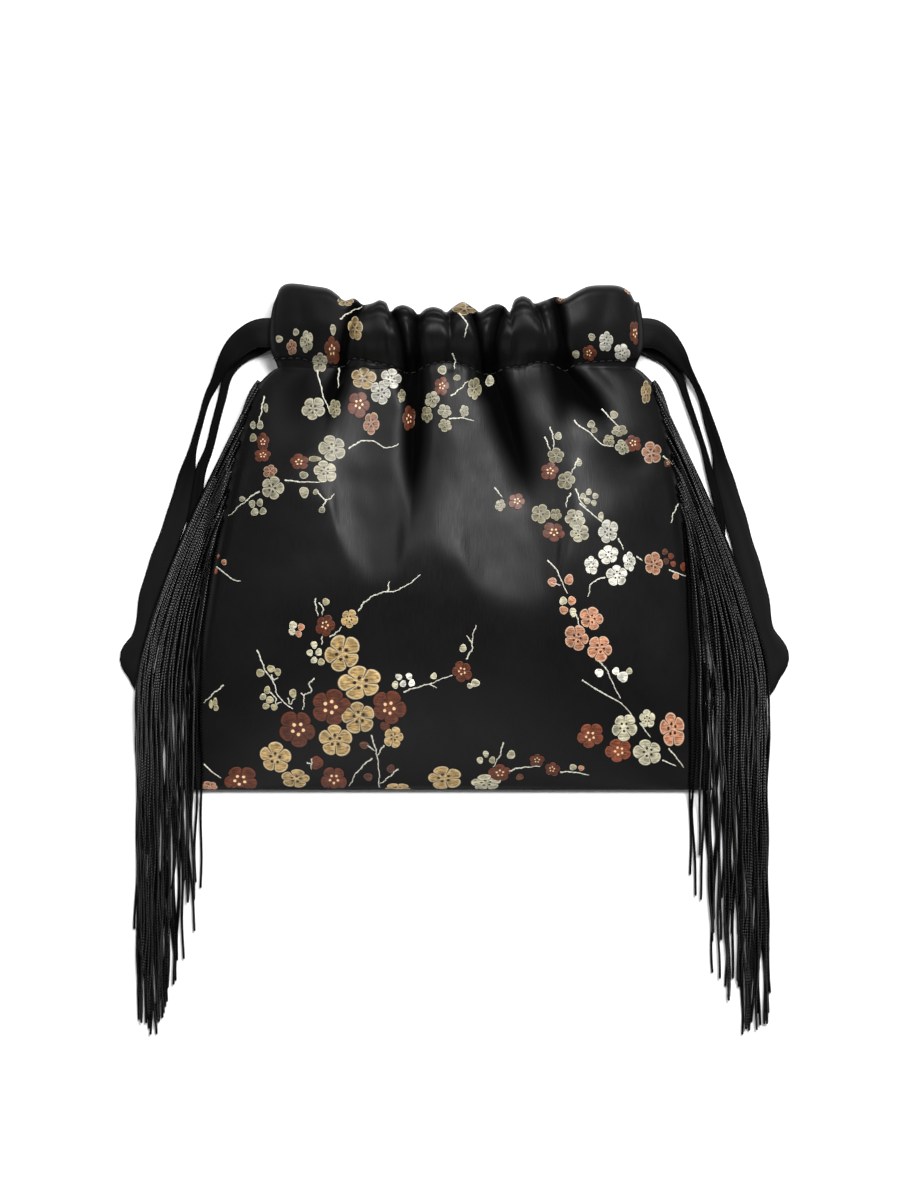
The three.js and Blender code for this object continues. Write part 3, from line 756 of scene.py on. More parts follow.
def front_casing(x, share, up):
    """Outer and inner height of the front casing."""
    opened = smoothstep(up, 0, HEM_SHARE)
    edge = mix(NECK_EDGE, EAR_TOP, opened)
    y = mix(STITCH_Y, top_fold(share), up)
    valley = fold_depth(x, y, up)
    full_at = mix(LOBE_FULL, VALLEY_FULL, np.clip(valley / DEEPEST_CASING_FOLD, 0, 1))
    puff = CASING_PUFF * smoothstep(up, 0, full_at) - CASING_FALL * smoothstep(up, FALL_FROM, 1)
    uneven = wrinkles(x, y) + CASING_CRUMPLE * opened * crumple(x, y)
    top = NECK_TOP - NECK_DRAWN + puff - frill(x, up) - pinch(x, y) - valley + uneven
    outer = edge + dome(share) * (top - edge)
    lifted = mix(CASING_THICK + 2 * GAP, MOUTH_LIFT - ripple(x), dome(share))
    hem = front_height(x, np.full_like(x, STITCH_Y)) - 2 * CLOTH
    return outer, mix(hem, lifted, opened)


print("inside the casing is", CASING_SPACE, "mm of room for the straps")

# %% Height of the back casing
BACK_LIFT_START, NOSE_START = 0.84, 0.88


def back_height(share, y):
    return (front_edge(y) - seam_stack(y)) * smoothstep(np.abs(share), BACK_LIFT_START, FLANGE_SHARE)


def back_casing(x, share, up):
    """Outer and inner height of the back casing."""
    opened = smoothstep(up, 0, HEM_SHARE)
    hem = back_height(share, np.full_like(x, STITCH_Y))
    inner = mix(hem + 2 * CLOTH, CASING_THICK + dome(share) * ripple(x), opened)
    return mix(hem, 0, opened), inner


def rounded(outer, inner, up):
    """The two faces of a casing, brought together in a round nose at its top fold."""
    nose = np.sqrt(1 - np.clip((up - NOSE_START) / (1 - NOSE_START), 0, 1) ** 2)
    middle, half = (outer + inner) / 2, (outer - inner) / 2 * nose
    return middle + half, middle - half


print("a casing is", round(CASING_THICK, 1), "mm thick")


# %% Height anywhere on the front
def casing_place(x, y):
    """Share across and share of the height of a place on a casing."""
    share = np.clip((x - NECK_CENTRE_X) / NECK_HALF, -1, 1)
    up = np.clip((y - STITCH_Y) / (top_fold(share) - STITCH_Y), 0, 1)
    return np.clip((x - NECK_CENTRE_X) / casing_half(up), -1, 1), up


def front_top(x, y):
    """Height of the front's outer face anywhere on it, casing included."""
    share, up = casing_place(x, y)
    outer, inner = front_casing(x, share, up)
    return np.where(y < STITCH_Y, front_height(x, y), rounded(outer, inner, up)[0])


print("casing stands", round(float(front_top(np.array([-36.0]), np.array([146.0]))[0]), 1), "mm high")

# %% [markdown]
# ## Drawstrings
# Each drawstring is a flat satin strap. It runs out of the front casing, lies on the table in a loop, goes
# under the fringe and runs back into the back casing. A strap has a fixed length, so its route is a list of
# places with a width at each: where the strap is bunched it is narrower and thicker. A curve with a bevel
# could follow the route, but sweeping a soft flat section in code lets the width change along it.

# %% Loops on the table
# Columns: x, y, z and width.
LEFT_LOOP = [
    (-89, 145.6, 8.6, 12.5), (-95.8, 141.8, 6.8, 11.5), (-101.2, 136, 5.2, 8.5), (-104.7, 130.8, 3.9, 5.8),
    (-107.2, 125, 2.3, 4.4), (-111.2, 117, 0.9, 3.3), (-114.2, 106.6, 0.9, 3.1), (-117.6, 94.5, 0.9, 3.9),
    (-120, 84, 0.9, 6.8), (-124.4, 66, 0.9, 9.4), (-130.4, 47.5, 0.9, 10.6), (-136, 28.5, 0.9, 11),
    (-140.2, 9, 0.9, 10.4), (-144.2, 0.4, 0.9, 13.2), (-141.3, -6.4, 0.9, 11.2), (-138, -12.6, 0.9, 10.6),
    (-132.6, -16.2, 0.9, 11), (-126.5, -12.5, 0.9, 11), (-123, -0.7, 0.9, 11), (-120.4, 24, 0.9, 10.8),
    (-118, 48, 0.9, 9), (-116.4, 66, 0.9, 6.4), (-114.2, 84, 0.9, 5), (-110.3, 94.5, 0.9, 4),
    (-107.3, 106.6, 0.9, 3.6), (-104.4, 117.6, 0.9, 4), (-102.4, 126, 0.9, 4.2), (-99.6, 132, 0.9, 6.4),
    (-95, 138, 1.2, 9.6), (-89, 142.6, 1.7, 12.5),
]
RIGHT_LOOP = [
    (89.6, 145.6, 7.8, 12.5), (95, 142.4, 6.4, 11.5), (100.2, 136.6, 4.9, 8.2), (104, 130.6, 3.8, 5),
    (107.2, 125.4, 2.6, 3.3), (111, 117.4, 0.9, 3.2), (114.3, 106.8, 0.9, 4.8), (118.2, 94, 0.9, 5.8),
    (120.6, 83, 0.9, 8.2), (126.2, 63.5, 0.9, 9.8), (130.8, 46.5, 0.9, 10.6), (135.4, 29, 0.9, 11),
    (139, 12, 0.9, 10.4), (144, 0.4, 0.9, 13.4), (141.2, -6.6, 0.9, 11.4), (138, -12.6, 0.9, 10.6),
    (132.6, -16.2, 0.9, 11), (126.5, -12.5, 0.9, 11), (122.8, -0.7, 0.9, 11), (120.4, 24, 0.9, 9),
    (119.6, 48, 0.9, 5), (119.4, 64, 0.9, 4), (114.8, 83, 0.9, 3.6), (111.9, 94.6, 0.9, 2.8),
    (107.9, 106.6, 0.9, 2.8), (104.4, 116.8, 0.9, 3.2), (101.4, 125.6, 0.9, 4), (98.4, 131.4, 0.9, 6.2),
    (94.6, 136.8, 1.4, 9.4), (89.2, 142.4, 2.6, 12.5),
]
print("loop points:", len(LEFT_LOOP), "left,", len(RIGHT_LOOP), "right")

# %% Route of the straps
STRAP_THICK, CASING_WIDTH, STRAP_Y = 1.3, 12.5, 146.2
STEEP_CLOTH, DEEPEST_FOLD = 1.68, 7
CASING_STOPS = [0.85, 0.6, 0.3, 0, -0.3, -0.6, -0.8, -0.9, -0.97, -1]
LOW_LAYER, HIGH_LAYER = 0.28, 0.72
LAYERS_MEET = (0.85, 0.97)


def strap_height(share, in_front, layer):
    place = mix(layer, 0.5, smoothstep(abs(share), *LAYERS_MEET))
    if not in_front:
        return CLOTH + CASING_SPACE * place
    floor = mix(CASING_THICK + 2 * GAP, MOUTH_LIFT, dome(share)) + STEEP_CLOTH
    roof = mix(EAR_TOP, NECK_TOP - DEEPEST_FOLD, dome(share)) - STEEP_CLOTH
    return mix(floor, roof, place)


def casing_run(side, in_front, layer):
    run = []
    for stop in CASING_STOPS:
        height = float(strap_height(stop, in_front, layer))
        run.append((NECK_CENTRE_X - side * stop * NECK_HALF, STRAP_Y, height, CASING_WIDTH))
    return run


def strap_route(side, loop, front_layer, back_layer):
    return casing_run(side, True, front_layer) + loop + casing_run(side, False, back_layer)[::-1]


print("stops in a casing:", len(CASING_STOPS))

# %% Section of a strap
STRAP_STEPS, STRAP_SIDES = 300, 28
SECTION_FLAT, SECTION_ROUND = 0.75, 0.8
WANDER, WANDER_RUN = 0.3, 21
CREASE_OPEN, CREASE_BUNCHED, CREASE_WIDE = 0.2, 0.45, 0.2
SECOND_CREASE, SECOND_AT, SECOND_WIDE = 0.25, 0.55, 0.14


def softened(values, power):
    return np.sign(values) * np.abs(values) ** power


section_turn = np.linspace(0, 2 * math.pi, STRAP_SIDES, endpoint=False)
SECTION_ACROSS = softened(np.cos(section_turn), SECTION_FLAT)
SECTION_UP = softened(np.sin(section_turn), SECTION_ROUND)


def section_crease(run, bunch, side):
    """Share of the thickness left at each point: one crease wanders along, another comes where it bunches."""
    wander = WANDER * np.sin(run / WANDER_RUN + side)[:, None]
    bunched = bunch[:, None]
    first = (CREASE_OPEN + CREASE_BUNCHED * bunched) * hump(SECTION_ACROSS - wander, CREASE_WIDE)
    second = SECOND_CREASE * bunched * hump(SECTION_ACROSS + SECOND_AT + wander, SECOND_WIDE)
    return (1 - first) * (1 - second)


print("a strap has", STRAP_STEPS * STRAP_SIDES, "points")

# %% Sweep a strap
BUNCH_NARROWS, BUNCH_SHADE = (0.5, 7), 0.6
THICK_SIT, LOWEST = 0.9, 0.08
# The edges waver: share of the width, length of the wave and where it starts.
EDGE_WAVES = [(0.035, 7.3, 0), (0.03, 3.1, 1)]


def width_varies(run):
    return 1 + sum(size * np.sin(run / length + start) for size, length, start in EDGE_WAVES)


def strap(name, side, loop, front_layer, back_layer):
    rows = through(strap_route(side, loop, front_layer, back_layer), STRAP_STEPS)
    line, width = rows[:, :3], rows[:, 3]
    ahead = np.gradient(line, axis=0)
    across = np.stack([-ahead[:, 1], ahead[:, 0], np.zeros(len(line))], 1)
    across /= np.linalg.norm(across, axis=1)[:, None]
    run = distance_along(line)
    bunch = smoothstep(CASING_WIDTH - width, *BUNCH_NARROWS)
    thick = STRAP_THICK * (CASING_WIDTH / width) ** 0.5
    half = width_varies(run) * width / 2
    points = line[:, None, :] + across[:, None, :] * (SECTION_ACROSS[None, :, None] * half[:, None, None])
    points[:, :, 2] += SECTION_UP * section_crease(run, bunch, side) * thick[:, None] / 2
    points[:, :, 2] += THICK_SIT * (thick - STRAP_THICK)[:, None] / 2
    points[:, :, 2] = np.maximum(points[:, :, 2], LOWEST)
    faces = grid_faces(STRAP_STEPS, STRAP_SIDES, around=True)
    flat = SECTION_ACROSS * CASING_WIDTH / 2
    uv = [(flat[i % STRAP_SIDES], run[i // STRAP_SIDES]) for face in faces for i in face]
    last = (STRAP_STEPS - 1) * STRAP_SIDES
    ends = [tuple(range(STRAP_SIDES - 1, -1, -1)), tuple(range(last, last + STRAP_SIDES))]
    uv += [(0, 0)] * 2 * STRAP_SIDES
    # Painted shade where the strap bunches into folds.
    paint = grey_paint(BUNCH_SHADE * np.repeat(bunch, STRAP_SIDES))
    piece = new_piece(name, points.reshape(-1, 3), faces + ends, STRAP_SATIN, uv, paint)
    return piece, line, run[-1]


print("straps are", CASING_WIDTH, "mm wide and", STRAP_THICK, "mm thick")

for name, side, loop, front_layer, back_layer in (
    ("drawstring_left", -1, LEFT_LOOP, HIGH_LAYER, LOW_LAYER),
    ("drawstring_right", 1, RIGHT_LOOP, LOW_LAYER, HIGH_LAYER),
):
    piece, line, length = strap(name + "_satin", side, loop, front_layer, back_layer)
    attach(piece, "root")
    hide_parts(name)
    print(piece.name, round(length), "mm long")

# %% [markdown]
# ## Brocade panels
# The front is one cloth: up the belly, over the gathers, round the top fold and down inside the casing to the
# stitches. A cloth simulation could find such folds, but not these folds. The grid follows the functions
# above, so each gather falls where the photograph has it, and a thin solidify gives the cloth its edge.

# %% Rows of a panel
PANEL_COLUMNS, PANEL_ROWS = 256, 104
GATHER_SHARE, GATHER_COLUMNS = 0.66, 0.8
SEAM_ROWS = np.array([0, 0.4, 0.9, 1.6, 2.3])
SEAM_SHARE, BODY_TOP_Y = 0.988, STITCH_Y - 7.5
STITCH_ROWS = np.linspace(STITCH_Y - 6.8, STITCH_Y - 0.3, 12)
CASING_OUT = np.concatenate([np.linspace(0.01, 0.22, 12), np.linspace(0.26, 1, 21)])
CASING_IN = np.linspace(0.985, 0.0, 12)


def panel_rows(columns, rows, body, casing, drop):
    """Rows of points up a panel and down inside its casing, closer together where the cloth is gathered."""
    even = np.linspace(-1, 1, columns)
    spread = np.interp(np.abs(even), [0, GATHER_COLUMNS, 1], [0, GATHER_SHARE, FLANGE_SHARE]) * np.sign(even)
    shares = np.concatenate([[-1, -SEAM_SHARE], spread, [SEAM_SHARE, 1]])
    made = []
    levels = np.concatenate([BOTTOM_Y + SEAM_ROWS, np.linspace(FLANGE_Y, BODY_TOP_Y, rows), STITCH_ROWS])
    for y in levels:
        x = centre_line(y) + shares * half_width(y)
        level = np.full_like(x, y)
        made.append(np.stack([x, level, body(x, level)], 1))
    for ups, face in ((CASING_OUT, 0), (CASING_IN, 1)):
        for up in ups:
            x = NECK_CENTRE_X + shares * casing_half(up)
            z = rounded(*casing(x, shares, np.full_like(x, up)), up)[face]
            made.append(np.stack([x, mix(STITCH_Y, top_fold(shares) - drop, up), z], 1))
    return np.array(made)


print("panel grid", PANEL_COLUMNS + 4, "columns")

# %% Panel from its rows
CLOTH_EDGE = 0.9


def grid_steps(grid, axis):
    """Distance run along a grid in one direction, 0 at its first row or column."""
    steps = np.linalg.norm(np.diff(grid, axis=axis), axis=2)
    return np.cumsum(np.insert(steps, 0, 0, axis=axis), axis)


def panel(name, grid, facing_up, crease):
    rows, columns = grid.shape[:2]
    faces = grid_faces(rows, columns)
    if not facing_up:
        faces = [face[::-1] for face in faces]
    across, along = grid_steps(grid, 1), grid_steps(grid, 0)
    middle = across[:, [columns // 2]]
    flat = np.stack([across - middle, np.repeat(along.mean(1)[:, None], columns, 1)], 2).reshape(-1, 2)
    corner_uv = flat[np.array(faces).ravel()]
    piece = new_piece(name, grid.reshape(-1, 3), faces, BROCADE, corner_uv, grey_paint(crease.ravel()))
    edge = piece.modifiers.new("cloth_edge", "SOLIDIFY")
    edge.thickness = CLOTH_EDGE * MM
    edge.offset = -1
    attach(piece, "root")
    return piece, float(across[0, -1]), float(along[-1].mean())


print("cloth edge", CLOTH_EDGE, "mm")

# %% Front panel
# Painted shade, as paint that the brocade finish reads: darker and duller in the deep valleys and dark dents,
# a little over the whole casing, and along the groove of the stitch row.
CREASE_SHADE_SPAN, CASING_SHADE, CASING_SHADE_BY = (0.5, 5), 0.16, 0.2
SEAM_SHADE, SEAM_SHADE_REACH = 0.8, 0.8
front_grid = panel_rows(PANEL_COLUMNS, PANEL_ROWS, front_height, front_casing, 0)
front_x, front_y = front_grid[:, :, 0], front_grid[:, :, 1]
front_up = casing_place(front_x, front_y)[1]
crease_shade_depth = fold_depth(front_x, front_y, front_up) + dent_depth(front_x, front_y, for_shade=True)
casing_shaded = CASING_SHADE * smoothstep(front_up, 0, CASING_SHADE_BY)
valleys = np.maximum(smoothstep(crease_shade_depth, *CREASE_SHADE_SPAN), casing_shaded)
# Painted shade along the groove of the stitch row.
seam = SEAM_SHADE * hump(front_y - stitch_row(front_x), SEAM_SHADE_REACH)
front, wide, tall = panel("front_brocade", front_grid, True, np.maximum(valleys, seam))
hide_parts("front_panel")
print("front cloth: bottom edge", round(wide), "mm, up the middle and into the casing", round(tall), "mm")

# %% Back panel
BACK_COLUMNS, BACK_ROWS, BACK_DROP, BACK_CLEAR = 110, 70, 1.5, 0.35


def back_outer(x, y):
    """Height of the back's outer face below the stitches."""
    return back_height(share_across(x, y), y) + BACK_CLEAR


def back_casing_clear(x, share, up):
    outer, inner = back_casing(x, share, up)
    return outer + BACK_CLEAR, inner


back_grid = panel_rows(BACK_COLUMNS, BACK_ROWS, back_outer, back_casing_clear, BACK_DROP)
back, wide, tall = panel("back_brocade", back_grid, False, np.zeros(back_grid.shape[:2]))
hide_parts("back_panel")
print("back cloth: bottom edge", round(wide), "mm, length", round(tall), "mm")

# %% [markdown]
# ## Woven blossoms
# Brocade carries its pattern in extra coloured threads: plum blossoms, buds and twigs stand a hair above the
# black ground. The pattern is traditional, so it is charted: each row names a place in the picture, a
# size and a thread. An image could be printed on the cloth instead, but small woven patches keep crisp edges
# and catch the light as silk does.

# %% Chart of the blossoms
THREADS = {
    "tan": linear(192, 160, 104),
    "cream": linear(206, 200, 170),
    "white": linear(246, 244, 230),
    "olive": linear(172, 163, 126),
    "red": linear(100, 49, 29),
    "peach": linear(196, 136, 104),
    "orange": linear(134, 70, 46),
    "brown": linear(98, 62, 46),
}
DARK_THREADS = ("red", "orange", "brown")
# Columns: picture column and row of the middle, width, height and thread.
BLOSSOMS = [
    # lower left branch
    (330, 707, 39, 39, "red"), (389, 708, 34, 36, "red"), (298, 729, 38, 37, "red"),
    (334, 779, 28, 26, "red"), (240, 780, 36, 28, "red"), (342, 654, 37, 38, "tan"),
    (361, 683, 43, 36, "tan"), (359, 717, 33, 35, "tan"), (335, 740, 34, 34, "tan"),
    (275, 758, 33, 31, "tan"), (296, 779, 31, 18, "tan"), (394, 737, 21, 21, "tan"),
    (325, 625, 20, 22, "red"), (349, 619, 17, 20, "tan"), (398, 789, 26, 12, "tan"),
    (210, 786, 16, 10, "peach"),
    # lower middle
    (462, 671, 21, 21, "red"), (444, 778, 37, 23, "tan"), (486, 783, 32, 16, "cream"),
    (500, 773, 23, 18, "red"), (537, 760, 15, 14, "red"), (552, 769, 15, 15, "red"),
    # lower right branch
    (591, 619, 24, 24, "peach"), (577, 638, 26, 26, "peach"), (600, 648, 27, 26, "peach"),
    (624, 727, 27, 27, "cream"), (590, 736, 27, 26, "orange"), (619, 751, 26, 25, "orange"),
    (648, 752, 28, 28, "cream"), (672, 729, 26, 36, "peach"), (647, 719, 17, 18, "cream"),
    # middle right branch
    (556, 456, 18, 15, "olive"), (550, 471, 19, 18, "orange"), (566, 480, 18, 19, "olive"),
    (540, 514, 19, 21, "olive"), (556, 515, 11, 13, "olive"), (554, 532, 23, 20, "orange"),
    (575, 518, 22, 19, "cream"), (579, 533, 21, 18, "cream"), (608, 532, 21, 24, "white"),
    (609, 555, 20, 20, "white"), (617, 575, 21, 23, "white"), (591, 565, 14, 20, "white"),
    (629, 562, 13, 20, "white"), (654, 564, 20, 23, "peach"), (517, 501, 18, 16, "orange"),
    (500, 505, 11, 12, "cream"),
    # upper right branch
    (619, 431, 16, 12, "olive"), (609, 441, 11, 13, "olive"), (623, 447, 15, 16, "cream"),
    (633, 443, 17, 17, "orange"), (651, 453, 22, 22, "peach"), (646, 393, 11, 23, "tan"),
    (668, 463, 8, 9, "brown"),
    # casing
    (606, 341, 14, 22, "white"), (589, 353, 14, 17, "orange"), (622, 353, 16, 19, "white"),
    (635, 333, 11, 24, "orange"), (629, 289, 10, 10, "peach"), (560, 300, 10, 8, "brown"),
    (465, 309, 28, 13, "tan"), (307, 342, 13, 24, "cream"), (292, 347, 10, 17, "peach"),
    (332, 350, 16, 30, "orange"), (355, 329, 16, 24, "tan"), (346, 302, 18, 9, "tan"),
    # upper middle
    (442, 386, 16, 19, "orange"), (432, 399, 15, 17, "cream"), (474, 389, 14, 24, "olive"),
    (427, 415, 11, 18, "olive"), (445, 411, 14, 14, "cream"), (445, 425, 14, 13, "olive"),
    (464, 411, 10, 12, "cream"), (409, 419, 14, 25, "orange"), (402, 396, 8, 14, "olive"),
    # upper left
    (320, 362, 15, 22, "cream"), (363, 378, 25, 24, "tan"), (391, 379, 21, 21, "white"),
    (381, 393, 22, 24, "white"), (359, 404, 24, 26, "orange"), (371, 423, 17, 23, "peach"),
    (313, 409, 24, 24, "cream"), (335, 409, 12, 20, "olive"), (333, 448, 27, 28, "cream"),
    (325, 471, 24, 23, "cream"), (299, 462, 20, 16, "orange"), (263, 442, 14, 17, "orange"),
    (263, 455, 17, 14, "orange"), (270, 471, 14, 14, "peach"), (272, 488, 22, 25, "cream"),
]
print(len(BLOSSOMS), "blossoms in", len(THREADS), "threads")

# %% Chart of the buds
# Columns: picture column and row, width, height and thread.
BUDS = [
    (260, 673, 8, 9, "olive"), (271, 669, 8, 8, "olive"), (278, 672, 7, 8, "olive"),
    (293, 693, 8, 9, "olive"), (267, 690, 7, 8, "olive"), (263, 697, 7, 7, "cream"),
    (270, 700, 8, 8, "olive"), (266, 706, 7, 7, "olive"), (274, 707, 7, 7, "olive"),
    (314, 645, 7, 8, "cream"), (310, 653, 7, 7, "cream"), (319, 652, 7, 8, "cream"),
    (314, 660, 7, 7, "cream"), (321, 662, 7, 8, "olive"), (326, 602, 7, 8, "olive"),
    (399, 677, 7, 7, "white"), (409, 676, 7, 7, "white"), (395, 685, 7, 8, "cream"),
    (403, 684, 7, 7, "white"), (412, 683, 7, 8, "white"), (293, 625, 8, 9, "cream"),
    (301, 627, 7, 8, "peach"), (292, 632, 7, 7, "cream"), (299, 634, 7, 7, "peach"),
    (211, 704, 4, 9, "olive"), (215, 702, 5, 9, "olive"), (216, 708, 5, 7, "olive"),
    (317, 763, 13, 15, "red"), (385, 726, 10, 9, "red"), (364, 745, 10, 8, "brown"),
    (368, 777, 10, 8, "brown"), (391, 769, 9, 9, "brown"), (434, 676, 7, 7, "cream"),
    (463, 648, 7, 9, "cream"), (475, 683, 9, 9, "cream"), (470, 686, 6, 6, "cream"),
    (486, 754, 6, 7, "cream"), (480, 760, 7, 7, "cream"), (492, 760, 7, 7, "olive"),
    (511, 755, 9, 9, "cream"), (520, 777, 8, 7, "brown"), (573, 767, 7, 7, "cream"),
    (581, 768, 6, 6, "peach"), (599, 673, 9, 9, "white"), (623, 677, 12, 11, "white"),
    (616, 671, 8, 8, "white"), (629, 671, 7, 7, "cream"), (563, 601, 8, 9, "cream"),
    (572, 601, 8, 10, "peach"), (564, 610, 9, 9, "peach"), (573, 612, 7, 10, "cream"),
    (552, 582, 10, 9, "peach"), (569, 580, 10, 11, "peach"), (589, 492, 6, 7, "cream"),
    (583, 496, 6, 7, "cream"), (595, 496, 6, 7, "cream"), (587, 501, 7, 7, "cream"),
    (594, 503, 6, 6, "cream"), (601, 516, 6, 9, "cream"), (558, 436, 8, 8, "cream"),
    (579, 463, 6, 8, "cream"), (665, 552, 6, 7, "brown"), (671, 556, 6, 7, "orange"),
    (666, 561, 6, 7, "brown"), (673, 564, 6, 6, "orange"), (683, 567, 6, 9, "orange"),
    (676, 576, 7, 7, "peach"), (591, 424, 8, 8, "cream"), (594, 430, 6, 7, "olive"),
    (614, 415, 8, 9, "olive"), (592, 337, 7, 8, "cream"), (576, 354, 8, 8, "cream"),
    (442, 370, 10, 9, "cream"), (457, 378, 8, 6, "olive"), (490, 381, 9, 12, "cream"),
    (296, 332, 6, 8, "cream"), (279, 339, 7, 8, "cream"), (333, 330, 6, 12, "cream"),
    (266, 408, 5, 9, "cream"), (253, 425, 6, 8, "cream"), (260, 425, 7, 9, "cream"),
    (253, 438, 7, 9, "olive"), (315, 459, 13, 6, "olive"), (304, 475, 9, 8, "cream"),
    (304, 492, 10, 12, "cream"), (252, 504, 7, 8, "cream"), (260, 503, 7, 8, "cream"),
    (255, 512, 8, 8, "cream"), (263, 511, 7, 8, "cream"), (242, 499, 6, 6, "cream"),
    (215, 548, 6, 7, "peach"), (217, 556, 6, 6, "orange"), (224, 562, 6, 6, "peach"),
    (215, 571, 6, 6, "orange"), (322, 510, 7, 7, "cream"), (316, 492, 6, 6, "cream"),
]
print(len(BUDS), "buds")

# %% Chart of the twigs
# Each twig is a run of picture columns and rows.
TWIGS = [
    [(257, 650), (262, 662), (265, 670), (274, 683), (277, 694), (287, 705), (293, 709)],
    [(271, 674), (274, 680), (278, 677)], [(270, 692), (276, 699), (276, 704), (281, 702)],
    [(288, 698), (290, 704), (295, 698)],
    [(314, 678), (309, 685), (312, 690), (304, 696), (304, 702), (303, 710)], [(301, 693), (304, 696)],
    [(315, 598), (316, 607), (318, 616)], [(319, 603), (323, 608), (322, 615)],
    [(330, 637), (336, 633), (342, 627)],
    [(358, 611), (364, 603), (370, 598), (380, 593), (398, 590), (421, 575)], [(388, 592), (389, 581)],
    [(322, 636), (322, 645)], [(371, 735), (375, 747), (377, 756), (379, 771), (379, 787)],
    [(384, 745), (377, 756)], [(367, 745), (375, 751)], [(372, 758), (358, 771), (349, 786)],
    [(398, 769), (389, 777), (380, 784)], [(224, 685), (213, 694), (204, 703)],
    [(204, 764), (211, 771), (221, 778)], [(307, 763), (312, 764)], [(312, 759), (311, 769)],
    [(403, 692), (415, 688), (429, 684), (452, 675)], [(429, 684), (437, 688)],
    [(466, 659), (472, 649), (472, 640), (476, 625)], [(472, 643), (467, 636)],
    [(503, 742), (500, 755), (493, 767)], [(509, 771), (519, 768), (529, 767), (540, 766)],
    [(560, 772), (572, 772), (589, 775)], [(598, 660), (606, 669), (613, 684), (620, 698)],
    [(594, 688), (608, 696), (622, 704), (634, 718)], [(582, 680), (594, 688)], [(640, 723), (650, 737)],
    [(662, 760), (676, 766)], [(668, 748), (676, 757), (684, 768)], [(576, 489), (581, 502), (586, 507)],
    [(579, 503), (591, 513), (603, 523)], [(571, 493), (567, 500), (566, 507)],
    [(550, 427), (553, 437), (554, 449)], [(545, 437), (550, 450)], [(578, 458), (574, 468), (571, 473)],
    [(618, 538), (624, 550)], [(605, 577), (592, 583), (588, 597)], [(636, 556), (643, 561)],
    [(669, 570), (677, 573), (688, 577)], [(547, 560), (556, 569), (562, 582), (567, 593)],
    [(552, 583), (560, 585)], [(576, 614), (580, 628)], [(495, 488), (502, 497)],
    [(574, 420), (578, 425), (589, 432), (603, 445), (613, 446)], [(602, 409), (611, 419), (619, 427)],
    [(680, 502), (674, 512), (671, 523)], [(663, 456), (675, 466)], [(452, 353), (455, 360), (454, 369)],
    [(451, 396), (460, 389), (468, 381)], [(449, 419), (462, 418), (474, 421)],
    [(459, 313), (467, 324), (464, 337)], [(340, 319), (350, 312), (362, 307)],
    [(317, 370), (324, 398), (330, 411)], [(339, 368), (338, 388)], [(264, 396), (261, 413), (258, 425)],
    [(259, 491), (242, 504), (229, 516)], [(349, 449), (359, 442), (373, 441), (386, 448), (399, 444)],
    [(284, 480), (302, 482), (322, 482)], [(317, 491), (326, 500), (335, 494)], [(326, 500), (322, 509)],
    [(210, 562), (222, 571), (234, 580), (241, 581)],
]
print(len(TWIGS), "twigs")

# %% Place on the cloth
SLOPE_STEP, MOST_LIFT = 0.6, 2.5
CLOTH_SHARE, BOTTOM_MARGIN, TOP_MARGIN = 0.985, 0.2, 0.5


def on_cloth(px, py):
    """The place on the front that the camera sees at a pixel, in millimetres."""
    x, y = from_photo(np.asarray(px, float), np.asarray(py, float))
    nearer = 1 - front_top(x, y) / CAMERA_HEIGHT
    return centre_x + (x - centre_x) * nearer, centre_y + (y - centre_y) * nearer


def lift_from(surface, x, y, lift):
    """Height of a thread that lies on a sloping surface, raised square to the slope."""
    rise_x = surface(x + SLOPE_STEP, y) - surface(x - SLOPE_STEP, y)
    rise_y = surface(x, y + SLOPE_STEP) - surface(x, y - SLOPE_STEP)
    slope = np.hypot(rise_x, rise_y) / (2 * SLOPE_STEP)
    return surface(x, y) + lift * np.minimum(np.sqrt(1 + slope**2), MOST_LIFT)


def inside_front(x, y):
    body = (np.abs(share_across(x, y)) < CLOTH_SHARE) & (y > BOTTOM_Y + BOTTOM_MARGIN) & (y < STITCH_Y)
    share = np.clip((x - NECK_CENTRE_X) / NECK_HALF, -1, 1)
    casing = (np.abs(share) < CLOTH_SHARE) & (y >= STITCH_Y) & (y < top_fold(share) - TOP_MARGIN)
    return body | casing


print("a blossom at the belly lies at", [round(float(v), 1) for v in on_cloth(342, 654)])

# %% [markdown]
# ## Silk of the pattern
# A woven petal has a pale edge, a dark gap beside the next petal and a dot of thread near the middle, and its
# floats run across the cloth. All of this could be modelled thread by thread. Here the mesh of a flower
# carries a map that counts petals round it and runs from its middle (0) to its rim (1), and the finish draws
# the marks from that map.

# %% Marks of a petal
RIM_OUT, RIM_BESIDE = (0.86, 0.93), (0.72, 0.84)
SPLIT_BESIDE, SPLIT_OUT, RIM_GAP = (0.84, 0.95), (0.2, 0.4), (0.95, 0.99)
SEED_OUT, SEED_SIZE = 0.3, (0.075, 0.11)
PETALS = 5


def mask(tree, value, span):
    return ramp_value(tree, value, *span, 0, 1)


def petal_places(tree):
    """How far out a place is, how far it is off its petal's middle line, and the same without a sign."""
    petal_map = add_node(tree, "ShaderNodeSeparateXYZ")
    feed(tree, petal_map.inputs[0], uv_place(tree))
    off = maths(tree, "SUBTRACT", maths(tree, "FRACT", petal_map.outputs[0]), 0.5)
    return petal_map.outputs[1], off, maths(tree, "MULTIPLY", maths(tree, "ABSOLUTE", off), 2)


